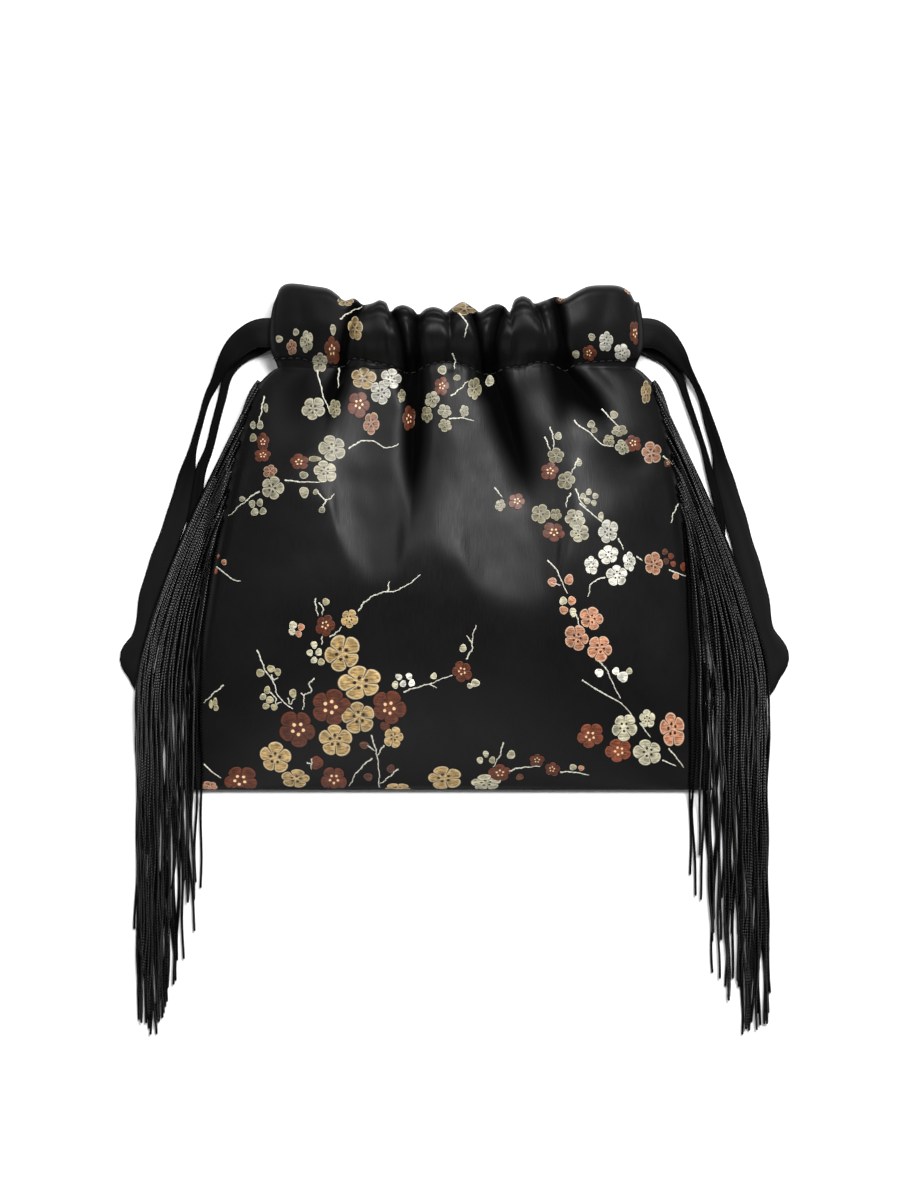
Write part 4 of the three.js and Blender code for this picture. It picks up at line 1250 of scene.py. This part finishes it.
def petal_marks(tree):
    """Masks for the pale rim, the dark gap and the seed dot of each petal."""
    out, off, beside = petal_places(tree)
    rim = maths(tree, "MAXIMUM", mask(tree, out, RIM_OUT), mask(tree, beside, RIM_BESIDE))
    split = maths(tree, "MULTIPLY", mask(tree, beside, SPLIT_BESIDE), mask(tree, out, SPLIT_OUT))
    gap = maths(tree, "MAXIMUM", split, mask(tree, out, RIM_GAP))
    side = maths(tree, "MULTIPLY", maths(tree, "MULTIPLY", off, 2 * math.pi / PETALS), out)
    short = maths(tree, "POWER", maths(tree, "SUBTRACT", out, SEED_OUT), 2)
    away = maths(tree, "SQRT", maths(tree, "ADD", maths(tree, "POWER", side, 2), short))
    return rim, gap, ramp_value(tree, away, *SEED_SIZE, 1, 0)


print("petals of a blossom:", PETALS)


# %% Threads across the cloth
def weft_place(tree):
    """The place on the cloth in millimetres, its two directions changed over so that floats run across."""
    place = add_node(tree, "ShaderNodeSeparateXYZ")
    feed(tree, place.inputs[0], add_node(tree, "ShaderNodeTexCoord").outputs["Object"])
    weft = add_node(tree, "ShaderNodeCombineXYZ")
    feed(tree, weft.inputs[0], maths(tree, "MULTIPLY", place.outputs[1], 1 / MM))
    feed(tree, weft.inputs[1], maths(tree, "MULTIPLY", place.outputs[0], 1 / MM))
    return weft.outputs[0]


def toned(tree, colour, level):
    made = add_node(tree, "ShaderNodeVectorMath", operation="SCALE")
    feed(tree, made.inputs[0], colour)
    feed(tree, made.inputs[3], level)
    return made.outputs[0]


print("the floats of the pattern run across the cloth")

# %% Silk of the blossoms
STREAK_FLOATS, STREAK_TONES = (0.38, 0.62), (0.45, 1.1)
PATCH_SCALE, PATCH_TONES = 0.3, (0.68, 1.12)
RIM_BRIGHT, RIM_SHOWS, GAP_SHOWS, EDGING = 1.2, 0.6, 0.8, 0.5
PALE_EDGE, GAP_COLOUR = linear(236, 230, 204), linear(38, 28, 22)
LIGHT_SEED, DARK_SEED = linear(236, 196, 150), linear(34, 24, 18)
GAP_SINKS, SILK_RELIEF = -1.2, 0.0002


def blossom_finish():
    """Petals in the painted thread; the paint's alpha is 1 for a pale thread and 0 for a dark one."""
    finish, tree, shader = new_finish("blossom_silk")
    paint = add_node(tree, "ShaderNodeVertexColor", layer_name="paint")
    thread, pale_thread = paint.outputs["Color"], paint.outputs["Alpha"]
    rim, gap, seed_dot = petal_marks(tree)
    weft = weft_place(tree)
    floats = place_group(tree, SATIN_FLOATS, Cloth=weft, Threads=2.0, Length=7).outputs["Height"]
    streak = ramp_value(tree, floats, *STREAK_FLOATS, *STREAK_TONES)
    patchy = ramp_value(tree, noise(tree, weft, PATCH_SCALE), *STREAK_FLOATS, *PATCH_TONES)
    shaded = toned(tree, thread, maths(tree, "MULTIPLY", streak, patchy))
    edging = maths(tree, "MULTIPLY", pale_thread, EDGING)
    pale = blend_colour(tree, edging, toned(tree, thread, RIM_BRIGHT), PALE_EDGE)
    petal = blend_colour(tree, maths(tree, "MULTIPLY", rim, RIM_SHOWS), shaded, pale)
    cut = blend_colour(tree, maths(tree, "MULTIPLY", gap, GAP_SHOWS), petal, GAP_COLOUR)
    seed = blend_colour(tree, pale_thread, LIGHT_SEED, DARK_SEED)
    feed(tree, shader.inputs["Base Color"], blend_colour(tree, seed_dot, cut, seed))
    height = maths(tree, "MULTIPLY_ADD", gap, GAP_SINKS, floats)
    feed(tree, shader.inputs["Normal"], bump_from(tree, height, SILK_RELIEF, 0.5))
    shader.inputs["Roughness"].default_value = 0.45
    shader.inputs["Specular IOR Level"].default_value = 0.4
    return finish


BLOSSOM_SILK = blossom_finish()
print("finish:", BLOSSOM_SILK.name)

# %% Silk of the twigs
TWIG_DARK, TWIG_LIGHT = linear(170, 168, 150), linear(234, 233, 220)
TWIG_SHADES = (0.35, 0.65)


def twig_finish():
    finish, tree, shader = new_finish("twig_silk")
    floats = place_group(tree, SATIN_FLOATS, Cloth=uv_place(tree), Threads=1.2, Length=1.5)
    lit = mask(tree, floats.outputs["Shade"], TWIG_SHADES)
    feed(tree, shader.inputs["Base Color"], blend_colour(tree, lit, TWIG_DARK, TWIG_LIGHT))
    feed(tree, shader.inputs["Normal"], bump_from(tree, floats.outputs["Height"], SILK_RELIEF, 0.4))
    shader.inputs["Roughness"].default_value = 0.5
    return finish


TWIG_SILK = twig_finish()
print("finish:", TWIG_SILK.name)

# %% Patch of one flower or bud
PETAL_POINTS = 8
BLOSSOM_RINGS = np.array([0.16, 0.34, 0.52, 0.68, 0.84, 0.94, 1.0])
BUD_RINGS = np.array([0.45, 0.85, 1.0])
BUD_LOBES, BUD_POINTS = 3, 15
NOTCH, PETAL_ROUND, RING_TURNS_PETAL = 0.76, 0.6, (0.2, 0.8)
UNEVEN_ONCE, UNEVEN_TWICE = 0.07, 0.06


def woven_patch(rings, angles, petals, turn):
    """Points (unit circle), faces and petal coordinates of one flower or bud."""
    theta = np.arange(angles) * 2 * math.pi / angles
    lobe = np.abs(np.cos(petals / 2 * theta))
    uneven = 1 + UNEVEN_ONCE * np.cos(theta + 3 * turn) + UNEVEN_TWICE * np.cos(2 * theta + 5 * turn)
    outline = mix(NOTCH, 1, lobe**PETAL_ROUND) * uneven
    points, coords = [(0, 0)], [(0.5, 0)]
    for ring in rings:
        reach = ring * mix(1, outline, smoothstep(ring, *RING_TURNS_PETAL))
        points += list(zip(reach * np.cos(theta + turn), reach * np.sin(theta + turn)))
        coords += [(a * petals / angles + 0.5, ring) for a in range(angles)]
    faces = [(0, 1 + a, 1 + (a + 1) % angles) for a in range(angles)]
    faces += [(1 + a, 1 + d, 1 + c, 1 + b) for a, b, c, d in grid_faces(len(rings), angles, around=True)]
    return np.array(points), np.array(coords), faces


print("a blossom has", len(BLOSSOM_RINGS) * PETALS * PETAL_POINTS + 1, "points")

# %% Map of a petal
BUD_MIDDLE, BUD_RIM = 0.5, 0.97


def petal_corners(coords, face, flower):
    """Petal coordinates of a face's corners, kept together where the count starts again.

    A bud has one plain petal.
    """
    if not flower:
        return [(0.5, mix(BUD_MIDDLE, BUD_RIM, coords[v][1])) for v in face]
    around = np.array([coords[v][0] for v in face if v > 0])
    wraps = around.max() - around.min() > PETALS / 2
    corners = []
    for v in face:
        u = coords[v][0] if v > 0 else around.mean()
        corners.append((u + PETALS if wraps and v > 0 and u < PETALS / 2 else u, coords[v][1]))
    return corners


print("the map of a bud runs from", BUD_MIDDLE, "to", BUD_RIM)

# %% Weave the blossoms
BLOSSOM_LIFT = 0.3
GOLDEN_TURN = 2.399963
# Painted shade: blossoms up among the gathers are darkened to this share.
GATHERED_SHADE, TONE_SPREAD, GATHERS_FROM = 0.5, 0.14, (25, 65)
RIM_LIFT, LIFT_STEP, LIFT_STEPS = 0.6, 0.12, 3


def thread_colour(thread, y, i):
    """Colour of one flower: painted shade darkens it up among the gathers, and no two are quite alike."""
    tone = mix(1, GATHERED_SHADE, smoothstep(y, *GATHERS_FROM)) * (1 + TONE_SPREAD * math.sin(i * GOLDEN_TURN))
    return [tone * level for level in THREADS[thread][:3]] + [0.0 if thread in DARK_THREADS else 1.0]


def weave(name, surface, place, inside, lift, turned_over):
    points, faces, uv, paint = [], [], [], []
    for flower, rows in ((True, BLOSSOMS), (False, BUDS)):
        rings, angles = (BLOSSOM_RINGS, PETALS * PETAL_POINTS) if flower else (BUD_RINGS, BUD_POINTS)
        for i, (px, py, wide, tall, thread) in enumerate(rows):
            unit, coords, patch = woven_patch(rings, angles, PETALS if flower else BUD_LOBES, i * GOLDEN_TURN)
            x, y = place(px + unit[:, 0] * wide / 2, py - unit[:, 1] * tall / 2)
            swell = mix(1, RIM_LIFT, coords[:, 1] ** 2) * (1 + LIFT_STEP * (i % LIFT_STEPS))
            keep = inside(x, y)
            first = len(points)
            points.extend(np.column_stack([x, y, lift_from(surface, x, y, lift * swell)]))
            paint.extend([thread_colour(thread, float(y[0]), i)] * len(unit))
            for face in patch:
                if all(keep[v] for v in face):
                    order = face[::-1] if turned_over else face
                    faces.append([first + v for v in order])
                    uv += petal_corners(coords, order, flower)
    return new_piece(name, points, faces, BLOSSOM_SILK, uv, paint)


blossoms = weave("front_blossoms", front_top, on_cloth, inside_front, BLOSSOM_LIFT, False)
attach(blossoms, "root")
print(blossoms.name, len(blossoms.data.polygons), "faces")

# %% Line of a twig
TWIG_HALF, TWIG_STEPS = 0.27, 7
TWIG_KINK, KINK_DOWN, KINK_LONG, KINK_SHORT, SHORT_SHARE = 0.45, 0.6, 0.75, 2.1, 0.6
TWIG_ROOT, TWIG_THINS, TWIG_KNOTS, KNOT_STEP = 1.15, 0.5, 0.25, 1.9


def twig_line(row, place):
    """Places along one twig, with small kinks, and half its width at each."""
    run = through([(px, py, 0) for px, py in row], TWIG_STEPS * len(row))
    count = np.arange(len(run))
    sway = np.sin(KINK_LONG * count + run[0, 0]) + SHORT_SHARE * np.sin(KINK_SHORT * count + run[0, 1])
    kink = TWIG_KINK * sway
    x, y = place(run[:, 0] + kink, run[:, 1] + KINK_DOWN * kink)
    thins = TWIG_ROOT - TWIG_THINS * np.linspace(0, 1, len(run))
    return x, y, TWIG_HALF * thins * (1 + TWIG_KNOTS * np.sin(count * KNOT_STEP))


print("twigs are about", 2 * TWIG_HALF, "mm wide")

# %% Weave the twigs
TWIG_LIFT, TWIG_EDGE_LIFT, TWIG_RIDGE_LIFT = 0.8, 0.7, 1.5
TWIG_UV_STEP = (0.6, 0.5)


def twig_strips(name, surface, place, inside, lift, turned_over):
    points, faces, uv = [], [], []
    for row in TWIGS:
        x, y, half = twig_line(row, place)
        ahead = np.gradient(np.column_stack([x, y]), axis=0)
        across = np.column_stack([-ahead[:, 1], ahead[:, 0]]) / np.linalg.norm(ahead, axis=1)[:, None]
        keep = inside(x, y)
        count, first = len(x), len(points)
        for offset, raised in ((-1, TWIG_EDGE_LIFT), (0, TWIG_RIDGE_LIFT), (1, TWIG_EDGE_LIFT)):
            sx, sy = x + across[:, 0] * half * offset, y + across[:, 1] * half * offset
            points.extend(np.column_stack([sx, sy, lift_from(surface, sx, sy, lift * raised)]))
        for i in range(count - 1):
            for strip in (0, 1):
                if keep[i] and keep[i + 1]:
                    a, b = strip * count + i, (strip + 1) * count + i
                    face = [b, b + 1, a + 1, a] if turned_over else [a + 1, b + 1, b, a]
                    faces.append([first + v for v in face])
                    uv += [(v % count * TWIG_UV_STEP[0], v // count * TWIG_UV_STEP[1]) for v in face]
    return new_piece(name, points, faces, TWIG_SILK, uv)


twigs = twig_strips("front_twigs", front_top, on_cloth, inside_front, BLOSSOM_LIFT * TWIG_LIFT, False)
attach(twigs, "root")
print(twigs.name, len(twigs.data.polygons), "faces")

# %% The same pattern on the back
BACK_LIFT, BACK_SHIFT = -0.15, 26
BACK_SHARE, BACK_FOOT_MARGIN, BACK_TOP_MARGIN = 0.97, 0.5, 2


def on_back(px, py):
    x, y = from_photo(np.asarray(px, float), np.asarray(py, float))
    return -x, y - BACK_SHIFT


def inside_back(x, y):
    within = (y > BOTTOM_Y + BACK_FOOT_MARGIN) & (y < STITCH_Y - BACK_TOP_MARGIN)
    return (np.abs(share_across(x, y)) < BACK_SHARE) & within


back_pattern = [
    weave("back_blossoms", back_outer, on_back, inside_back, BACK_LIFT, True),
    twig_strips("back_twigs", back_outer, on_back, inside_back, BACK_LIFT, True),
]
for made in back_pattern:
    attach(made, "root")
    print(made.name, len(made.data.polygons), "faces")

# %% [markdown]
# ## Fringe
# The fringe is a heading sewn into the side seam, from which many twisted strands hang. The strands that
# leave the top of the seam lie outermost and hang lowest. Blender's hair could grow them, but each strand has
# to lie on the cloth, the strap or the table, so a loop lays them one by one with a fixed pattern of small
# differences.

# %% What the strands lie on
STRANDS, STRAND_RADIUS = 56, 0.57
# Strands lie in layers, lowest first, and the number is the painted shade of a strand that lies under the
# others.
LAYER_SHADES, LAYER_STEP, LAYER_LOOSE = (0.95, 0.85, 0), 1.0, 0.3
HEAD_TOP_Y, HEAD_FOOT_Y = 123.5, 62
STRAP_TOP, STRAP_COVER = 1.6, (-44, -34)
OVER_EDGE, OVER_BOTTOM = 0.8, 1.5
FRINGES = {
    "left": {"side": -1, "inner": -110.5, "outer": -143.2},
    "right": {"side": 1, "inner": 101.5, "outer": 141},
}


def rest_under(side, x, y):
    """Height of what a strand rests on: the cloth, the strap or the table."""
    outside = STRAP_TOP * smoothstep(y, *STRAP_COVER)
    over_pouch = (side * (x - side_x(side, y)) < OVER_EDGE) & (y > BOTTOM_Y - OVER_BOTTOM)
    cloth = front_height(np.clip(x, side_x(-1, y), side_x(1, y)), np.maximum(y, BOTTOM_Y))
    return np.where(over_pouch, cloth, outside)


print("strands on each side:", STRANDS, "in", len(LAYER_SHADES), "layers")

# %% End of a strand
SHORT_END_Y, LONG_END_Y, END_GROWS = -107, -165, (0.06, 0.74)
OUTER_SHORTER, OUTER_FROM = 6, 0.85
END_RAGGED, END_LONGER = 7, 5
SHORT_STRANDS, CUT_SHORT = 0.2, (8, 40)
scatter = np.random.default_rng(7)


def end_row(share):
    grown = mix(SHORT_END_Y, LONG_END_Y, smoothstep(share, *END_GROWS))
    return grown + OUTER_SHORTER * smoothstep(share, OUTER_FROM, 1)


def strand_end(share):
    """Where a strand ends: ragged, and sometimes cut short."""
    end_y = end_row(share) + scatter.exponential(END_RAGGED) - scatter.random() * END_LONGER
    if scatter.random() < SHORT_STRANDS:
        end_y += scatter.uniform(*CUT_SHORT)
    return end_y


print("the ends hang from", SHORT_END_Y, "to", LONG_END_Y, "mm")

# %% Route of a strand from above
FAN_POINTS, RUN_POINTS, FAN_Y, FAN_TURN = 18, 26, -19, 42
OUTER_CROWD, CLUMPS, INNER_PULL, OUTER_PULL, PULL_GROWS = 0.5, 12, 0.35, 0.6, (0.15, 0.6)
START_JITTER, START_INSET, FAN_JITTER = 0.03, 1.6, 0.35
SWAY, MOST_SWAY, CUT_TIP = 1.8, 3, 0.5
LONG_WAVE, LONG_WAVE_RUN, SHORT_WAVE, SHORT_WAVE_RUN, WAVE_STARTS = 0.45, 15, 0.3, 6.5, (2, 14)


def strand_plan(form, rank):
    """Route from above; rank runs from the innermost strand (0) to the outermost (1)."""
    side, inner, outer = form["side"], form["inner"], form["outer"]
    share = rank**OUTER_CROWD
    start_y = mix(HEAD_FOOT_Y, HEAD_TOP_Y, np.clip(rank + scatter.normal(0, START_JITTER), 0, 1))
    start = np.array([side_x(side, start_y) - side * scatter.uniform(0, START_INSET), start_y])
    fan_x = mix(inner, outer, share) + scatter.normal(0, FAN_JITTER)
    turn, fan_end = np.array([fan_x, FAN_Y + FAN_TURN]), np.array([fan_x, FAN_Y])
    t = np.linspace(0, 1, FAN_POINTS)[:, None]
    fan = (1 - t) ** 2 * start + 2 * t * (1 - t) * turn + t**2 * fan_end
    end_y = strand_end(share)
    t = np.append(np.linspace(0, 1, RUN_POINTS)[1:], 1 + CUT_TIP / (FAN_Y - end_y))
    clump_x = mix(inner, outer, (math.floor(share * CLUMPS) + 0.5) / CLUMPS)
    pulled = mix(INNER_PULL, OUTER_PULL, share) * (clump_x - fan_x) * smoothstep(t, *PULL_GROWS)
    sway = np.clip(scatter.normal(0, SWAY), -MOST_SWAY, MOST_SWAY) * t**2
    plan = np.concatenate([fan, np.stack([fan_x + pulled + sway, mix(FAN_Y, end_y, t)], 1)])
    phase, size = scatter.random() * 2 * math.pi, abs(scatter.normal(0, LONG_WAVE))
    wave = size * np.sin(plan[:, 1] / LONG_WAVE_RUN + phase)
    wave += SHORT_WAVE * np.sin(plan[:, 1] / SHORT_WAVE_RUN + 3 * phase)
    plan[:, 0] += wave * smoothstep(np.arange(len(plan)), *WAVE_STARTS)
    return plan


print("points along a strand:", FAN_POINTS + RUN_POINTS)

# %% Height of a strand
FEEL_ASIDE, LIE_CLEAR, START_CLEAR, START_LOOSE = 0.9, 0.2, 0.3, 1.4
FLATTENS, FLATTENS_OVER, STEEPEST = 0.45, (18, 34), 0.35


def strand_line(form, rank, layer):
    """Route with heights: the strand rests on what lies under it and never drops more steeply than cord."""
    plan = strand_plan(form, rank)
    raised = LAYER_STEP * (layer + LAYER_LOOSE * scatter.random())
    feelers = [rest_under(form["side"], plan[:, 0] + dx, plan[:, 1]) for dx in (-FEEL_ASIDE, 0, FEEL_ASIDE)]
    settled = 1 - FLATTENS * smoothstep(np.arange(len(plan)), *FLATTENS_OVER)
    height = np.max(feelers, axis=0) + STRAND_RADIUS + LIE_CLEAR + raised * settled
    loose = scatter.random() * START_LOOSE
    height[0] = front_edge(plan[0, 1]) + STRAND_RADIUS + START_CLEAR + loose
    for i in range(1, len(plan)):
        step = np.linalg.norm(plan[i] - plan[i - 1])
        height[i] = max(height[i], height[i - 1] - STEEPEST * step)
    return np.column_stack([plan, height])


print("a strand drops at most", STEEPEST, "mm for each millimetre of its run")


# %% Tubes along lines
def tube_rings(line, radius, sides, taper):
    """Rings of points round a line, the last one narrowed by the taper."""
    angles = np.linspace(0, 2 * math.pi, sides, endpoint=False)
    ahead = np.gradient(line, axis=0)
    ahead /= np.linalg.norm(ahead, axis=1)[:, None]
    across = np.cross(ahead, [0, 0, 1.0])
    across /= np.maximum(np.linalg.norm(across, axis=1), 1e-6)[:, None]
    up = np.cross(across, ahead)
    thick = np.full(len(line), radius)
    thick[-1] *= taper
    ring = across[:, None] * np.cos(angles)[None, :, None] + up[:, None] * np.sin(angles)[None, :, None]
    return (line[:, None] + ring * thick[:, None, None]).reshape(-1, 3)


def tubes(name, lines, finish, radius, sides, taper, shades=None):
    """One mesh of round tubes; its UV map runs along each tube in millimetres and once around it.

    The last argument holds the painted shade of each tube, one number a point: 0 in the open and 1 where it
    lies in shade under others.
    """
    points, faces, uv = [], [], []
    for k, line in enumerate(lines):
        first, last = len(points), (len(line) - 1) * sides
        points.extend(tube_rings(line, radius, sides, taper))
        run = k * GOLDEN_TURN + distance_along(line)
        wall = grid_faces(len(line), sides, around=True)
        for face in wall:
            r, c = divmod(face[0], sides)
            left, right = c / sides, (c + 1) / sides
            uv += [(run[r], left), (run[r], right), (run[r + 1], right), (run[r + 1], left)]
        caps = [range(sides - 1, -1, -1), range(last, last + sides)]
        faces += [[first + i for i in face] for face in wall + caps]
        uv += [(0, 0)] * 2 * sides
    paint = None if shades is None else grey_paint(np.repeat(np.concatenate(shades), sides))
    return new_piece(name, points, faces, finish, uv, paint)


print("a ring of a strand is", 2 * STRAND_RADIUS, "mm across")

# %% Lay the fringes
# Below the bag the ends cross and shade each other, so painted shade darkens them between these two places.
END_SHADE, END_SHADE_SPAN = 0.55, (-30, -80)
STRAND_SIDES, STRAND_TAPER = 6, 0.7
HEADING_OUT, HEADING_DOWN, HEADING_RADIUS = 1, 1.9, 1.1
HEADING_ABOVE, HEADING_POINTS, HEADING_SIDES, HEADING_TAPER = 1, 60, 8, 0.6


def heading_line(side):
    y = np.linspace(HEAD_TOP_Y + HEADING_ABOVE, TAPE_FOOT_Y, HEADING_POINTS)
    return np.stack([side_x(side, y) + side * HEADING_OUT, y, front_edge(y) - HEADING_DOWN], 1)


fringe_pieces = []
for name, form in FRINGES.items():
    layers = np.arange(STRANDS) % len(LAYER_SHADES)
    lines = [strand_line(form, (i + 0.5) / STRANDS, layer) for i, layer in enumerate(layers)]
    shades = [
        np.maximum(LAYER_SHADES[layer], END_SHADE * smoothstep(line[:, 1], *END_SHADE_SPAN))
        for line, layer in zip(lines, layers)
    ]
    piece = tubes(
        "fringe_strands_" + name, lines, FRINGE_CORD, STRAND_RADIUS, STRAND_SIDES, STRAND_TAPER, shades
    )
    heading = tubes(
        "fringe_heading_" + name, [heading_line(form["side"])], FRINGE_CORD, HEADING_RADIUS, HEADING_SIDES,
        HEADING_TAPER,
    )
    for made in (piece, heading):
        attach(made, "root")
    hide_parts("fringe_" + name)
    fringe_pieces += [piece, heading]
    print(piece.name, len(piece.data.polygons), "faces")

# %% [markdown]
# ## Stitches
# A row of running stitches closes the casing under the strap. They are a tube each, like the strands, laid on
# the cloth along the drawn row. A line in the colour of the cloth would do from far away, but not up close.

# %% Row of stitches
STITCH_PITCH, STITCH_LENGTH, STITCH_RADIUS, STITCH_SIDES = 3.4, 2.2, 0.24, 6
# How high a stitch lies along its length, in radii: its ends dip into the cloth.
STITCH_RISE = np.array([-1, 0.6, 0.9, 0.6, -1])
row_run = distance_along(STITCH_SMOOTH)
stitches = []
for start in np.arange(STITCH_PITCH, row_run[-1] - 2 * STITCH_PITCH, STITCH_PITCH):
    along = np.linspace(start, start + STITCH_LENGTH, len(STITCH_RISE))
    x, y = (np.interp(along, row_run, STITCH_SMOOTH[:, i]) for i in (0, 1))
    stitches.append(np.column_stack([x, y, front_top(x, y) + STITCH_RADIUS * STITCH_RISE]))
stitch_piece = tubes("casing_stitches", stitches, THREAD, STITCH_RADIUS, STITCH_SIDES, 1)
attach(stitch_piece, "root")
print(len(stitches), "stitches")

# %% [markdown]
# ## Cut sizes
# Cloth hardly stretches, so each panel was a flat piece before it was sewn and gathered. The panel cells
# above
# print its cut size: the bottom edge with its seams, and the way up the belly, over the casing and down
# inside it.

# %% [markdown]
# ## Floor and light
# The photograph has a white ground and no shadow. A wide pale floor with a bright even sky comes close. The
# cloth needs more than that, because satin shows its folds by what it mirrors. One large soft light stands
# beyond the mouth, so the slopes that face the mouth are bright, as in the photograph. Two weaker ones,
# beyond the left side and below the bottom edge, keep the other slopes from going flat. A picture of a studio
# could light it too, but lamps can be moved one by one.

# %% Floor
FLOOR_HALF, FLOOR_Z = 3000, -0.3
floor_finish, _, floor_shader = new_finish("pale_floor")
floor_shader.inputs["Base Color"].default_value = linear(250, 250, 250)
floor_shader.inputs["Roughness"].default_value = 0.9
corners = [(a * FLOOR_HALF, b * FLOOR_HALF, FLOOR_Z) for a, b in ((-1, -1), (1, -1), (1, 1), (-1, 1))]
floor = new_piece("floor", corners, [(0, 1, 2, 3)], floor_finish)
print("floor", 2 * FLOOR_HALF, "mm wide")


# %% Lights
def soft_light(name, place, aim, size, watts):
    lamp = bpy.data.lights.new(name, "AREA")
    lamp.shape = "RECTANGLE"
    lamp.size, lamp.size_y = (s * MM for s in size)
    lamp.energy = watts
    made = bpy.data.objects.new(name, lamp)
    made.location = [v * MM for v in place]
    direction = np.array(aim, float) - np.array(place, float)
    flat = math.hypot(direction[0], direction[1])
    made.rotation_euler = (math.atan2(flat, -direction[2]), 0, math.atan2(-direction[0], direction[1]))
    bpy.context.scene.collection.objects.link(made)


soft_light("light_beyond_mouth", place=(900, 1570, 2720), aim=(0, 40, 0), size=(1800, 1150), watts=163)
soft_light("light_beyond_left", place=(-1350, 1300, 2600), aim=(-20, 40, 0), size=(1500, 1000), watts=30)
soft_light("fill_below_bottom", place=(-450, -2450, 1720), aim=(-20, -40, 0), size=(1800, 1150), watts=17)

# %% Sky
SKY_LOW, SKY_OVERHEAD = 0.66, 0.07
world = bpy.data.worlds.new("sky")
world.use_nodes = True
sky = world.node_tree
sky_height = add_node(sky, "ShaderNodeSeparateXYZ")
feed(sky, sky_height.inputs[0], add_node(sky, "ShaderNodeTexCoord").outputs["Generated"])
sky_level = ramp_value(sky, sky_height.outputs[2], 0.0, 1.0, SKY_LOW, SKY_OVERHEAD)
feed(sky, sky.nodes["Background"].inputs["Strength"], sky_level)
bpy.context.scene.world = world
bpy.context.scene.view_settings.view_transform = "Standard"
print("sky from", SKY_LOW, "at the horizon to", SKY_OVERHEAD, "overhead")
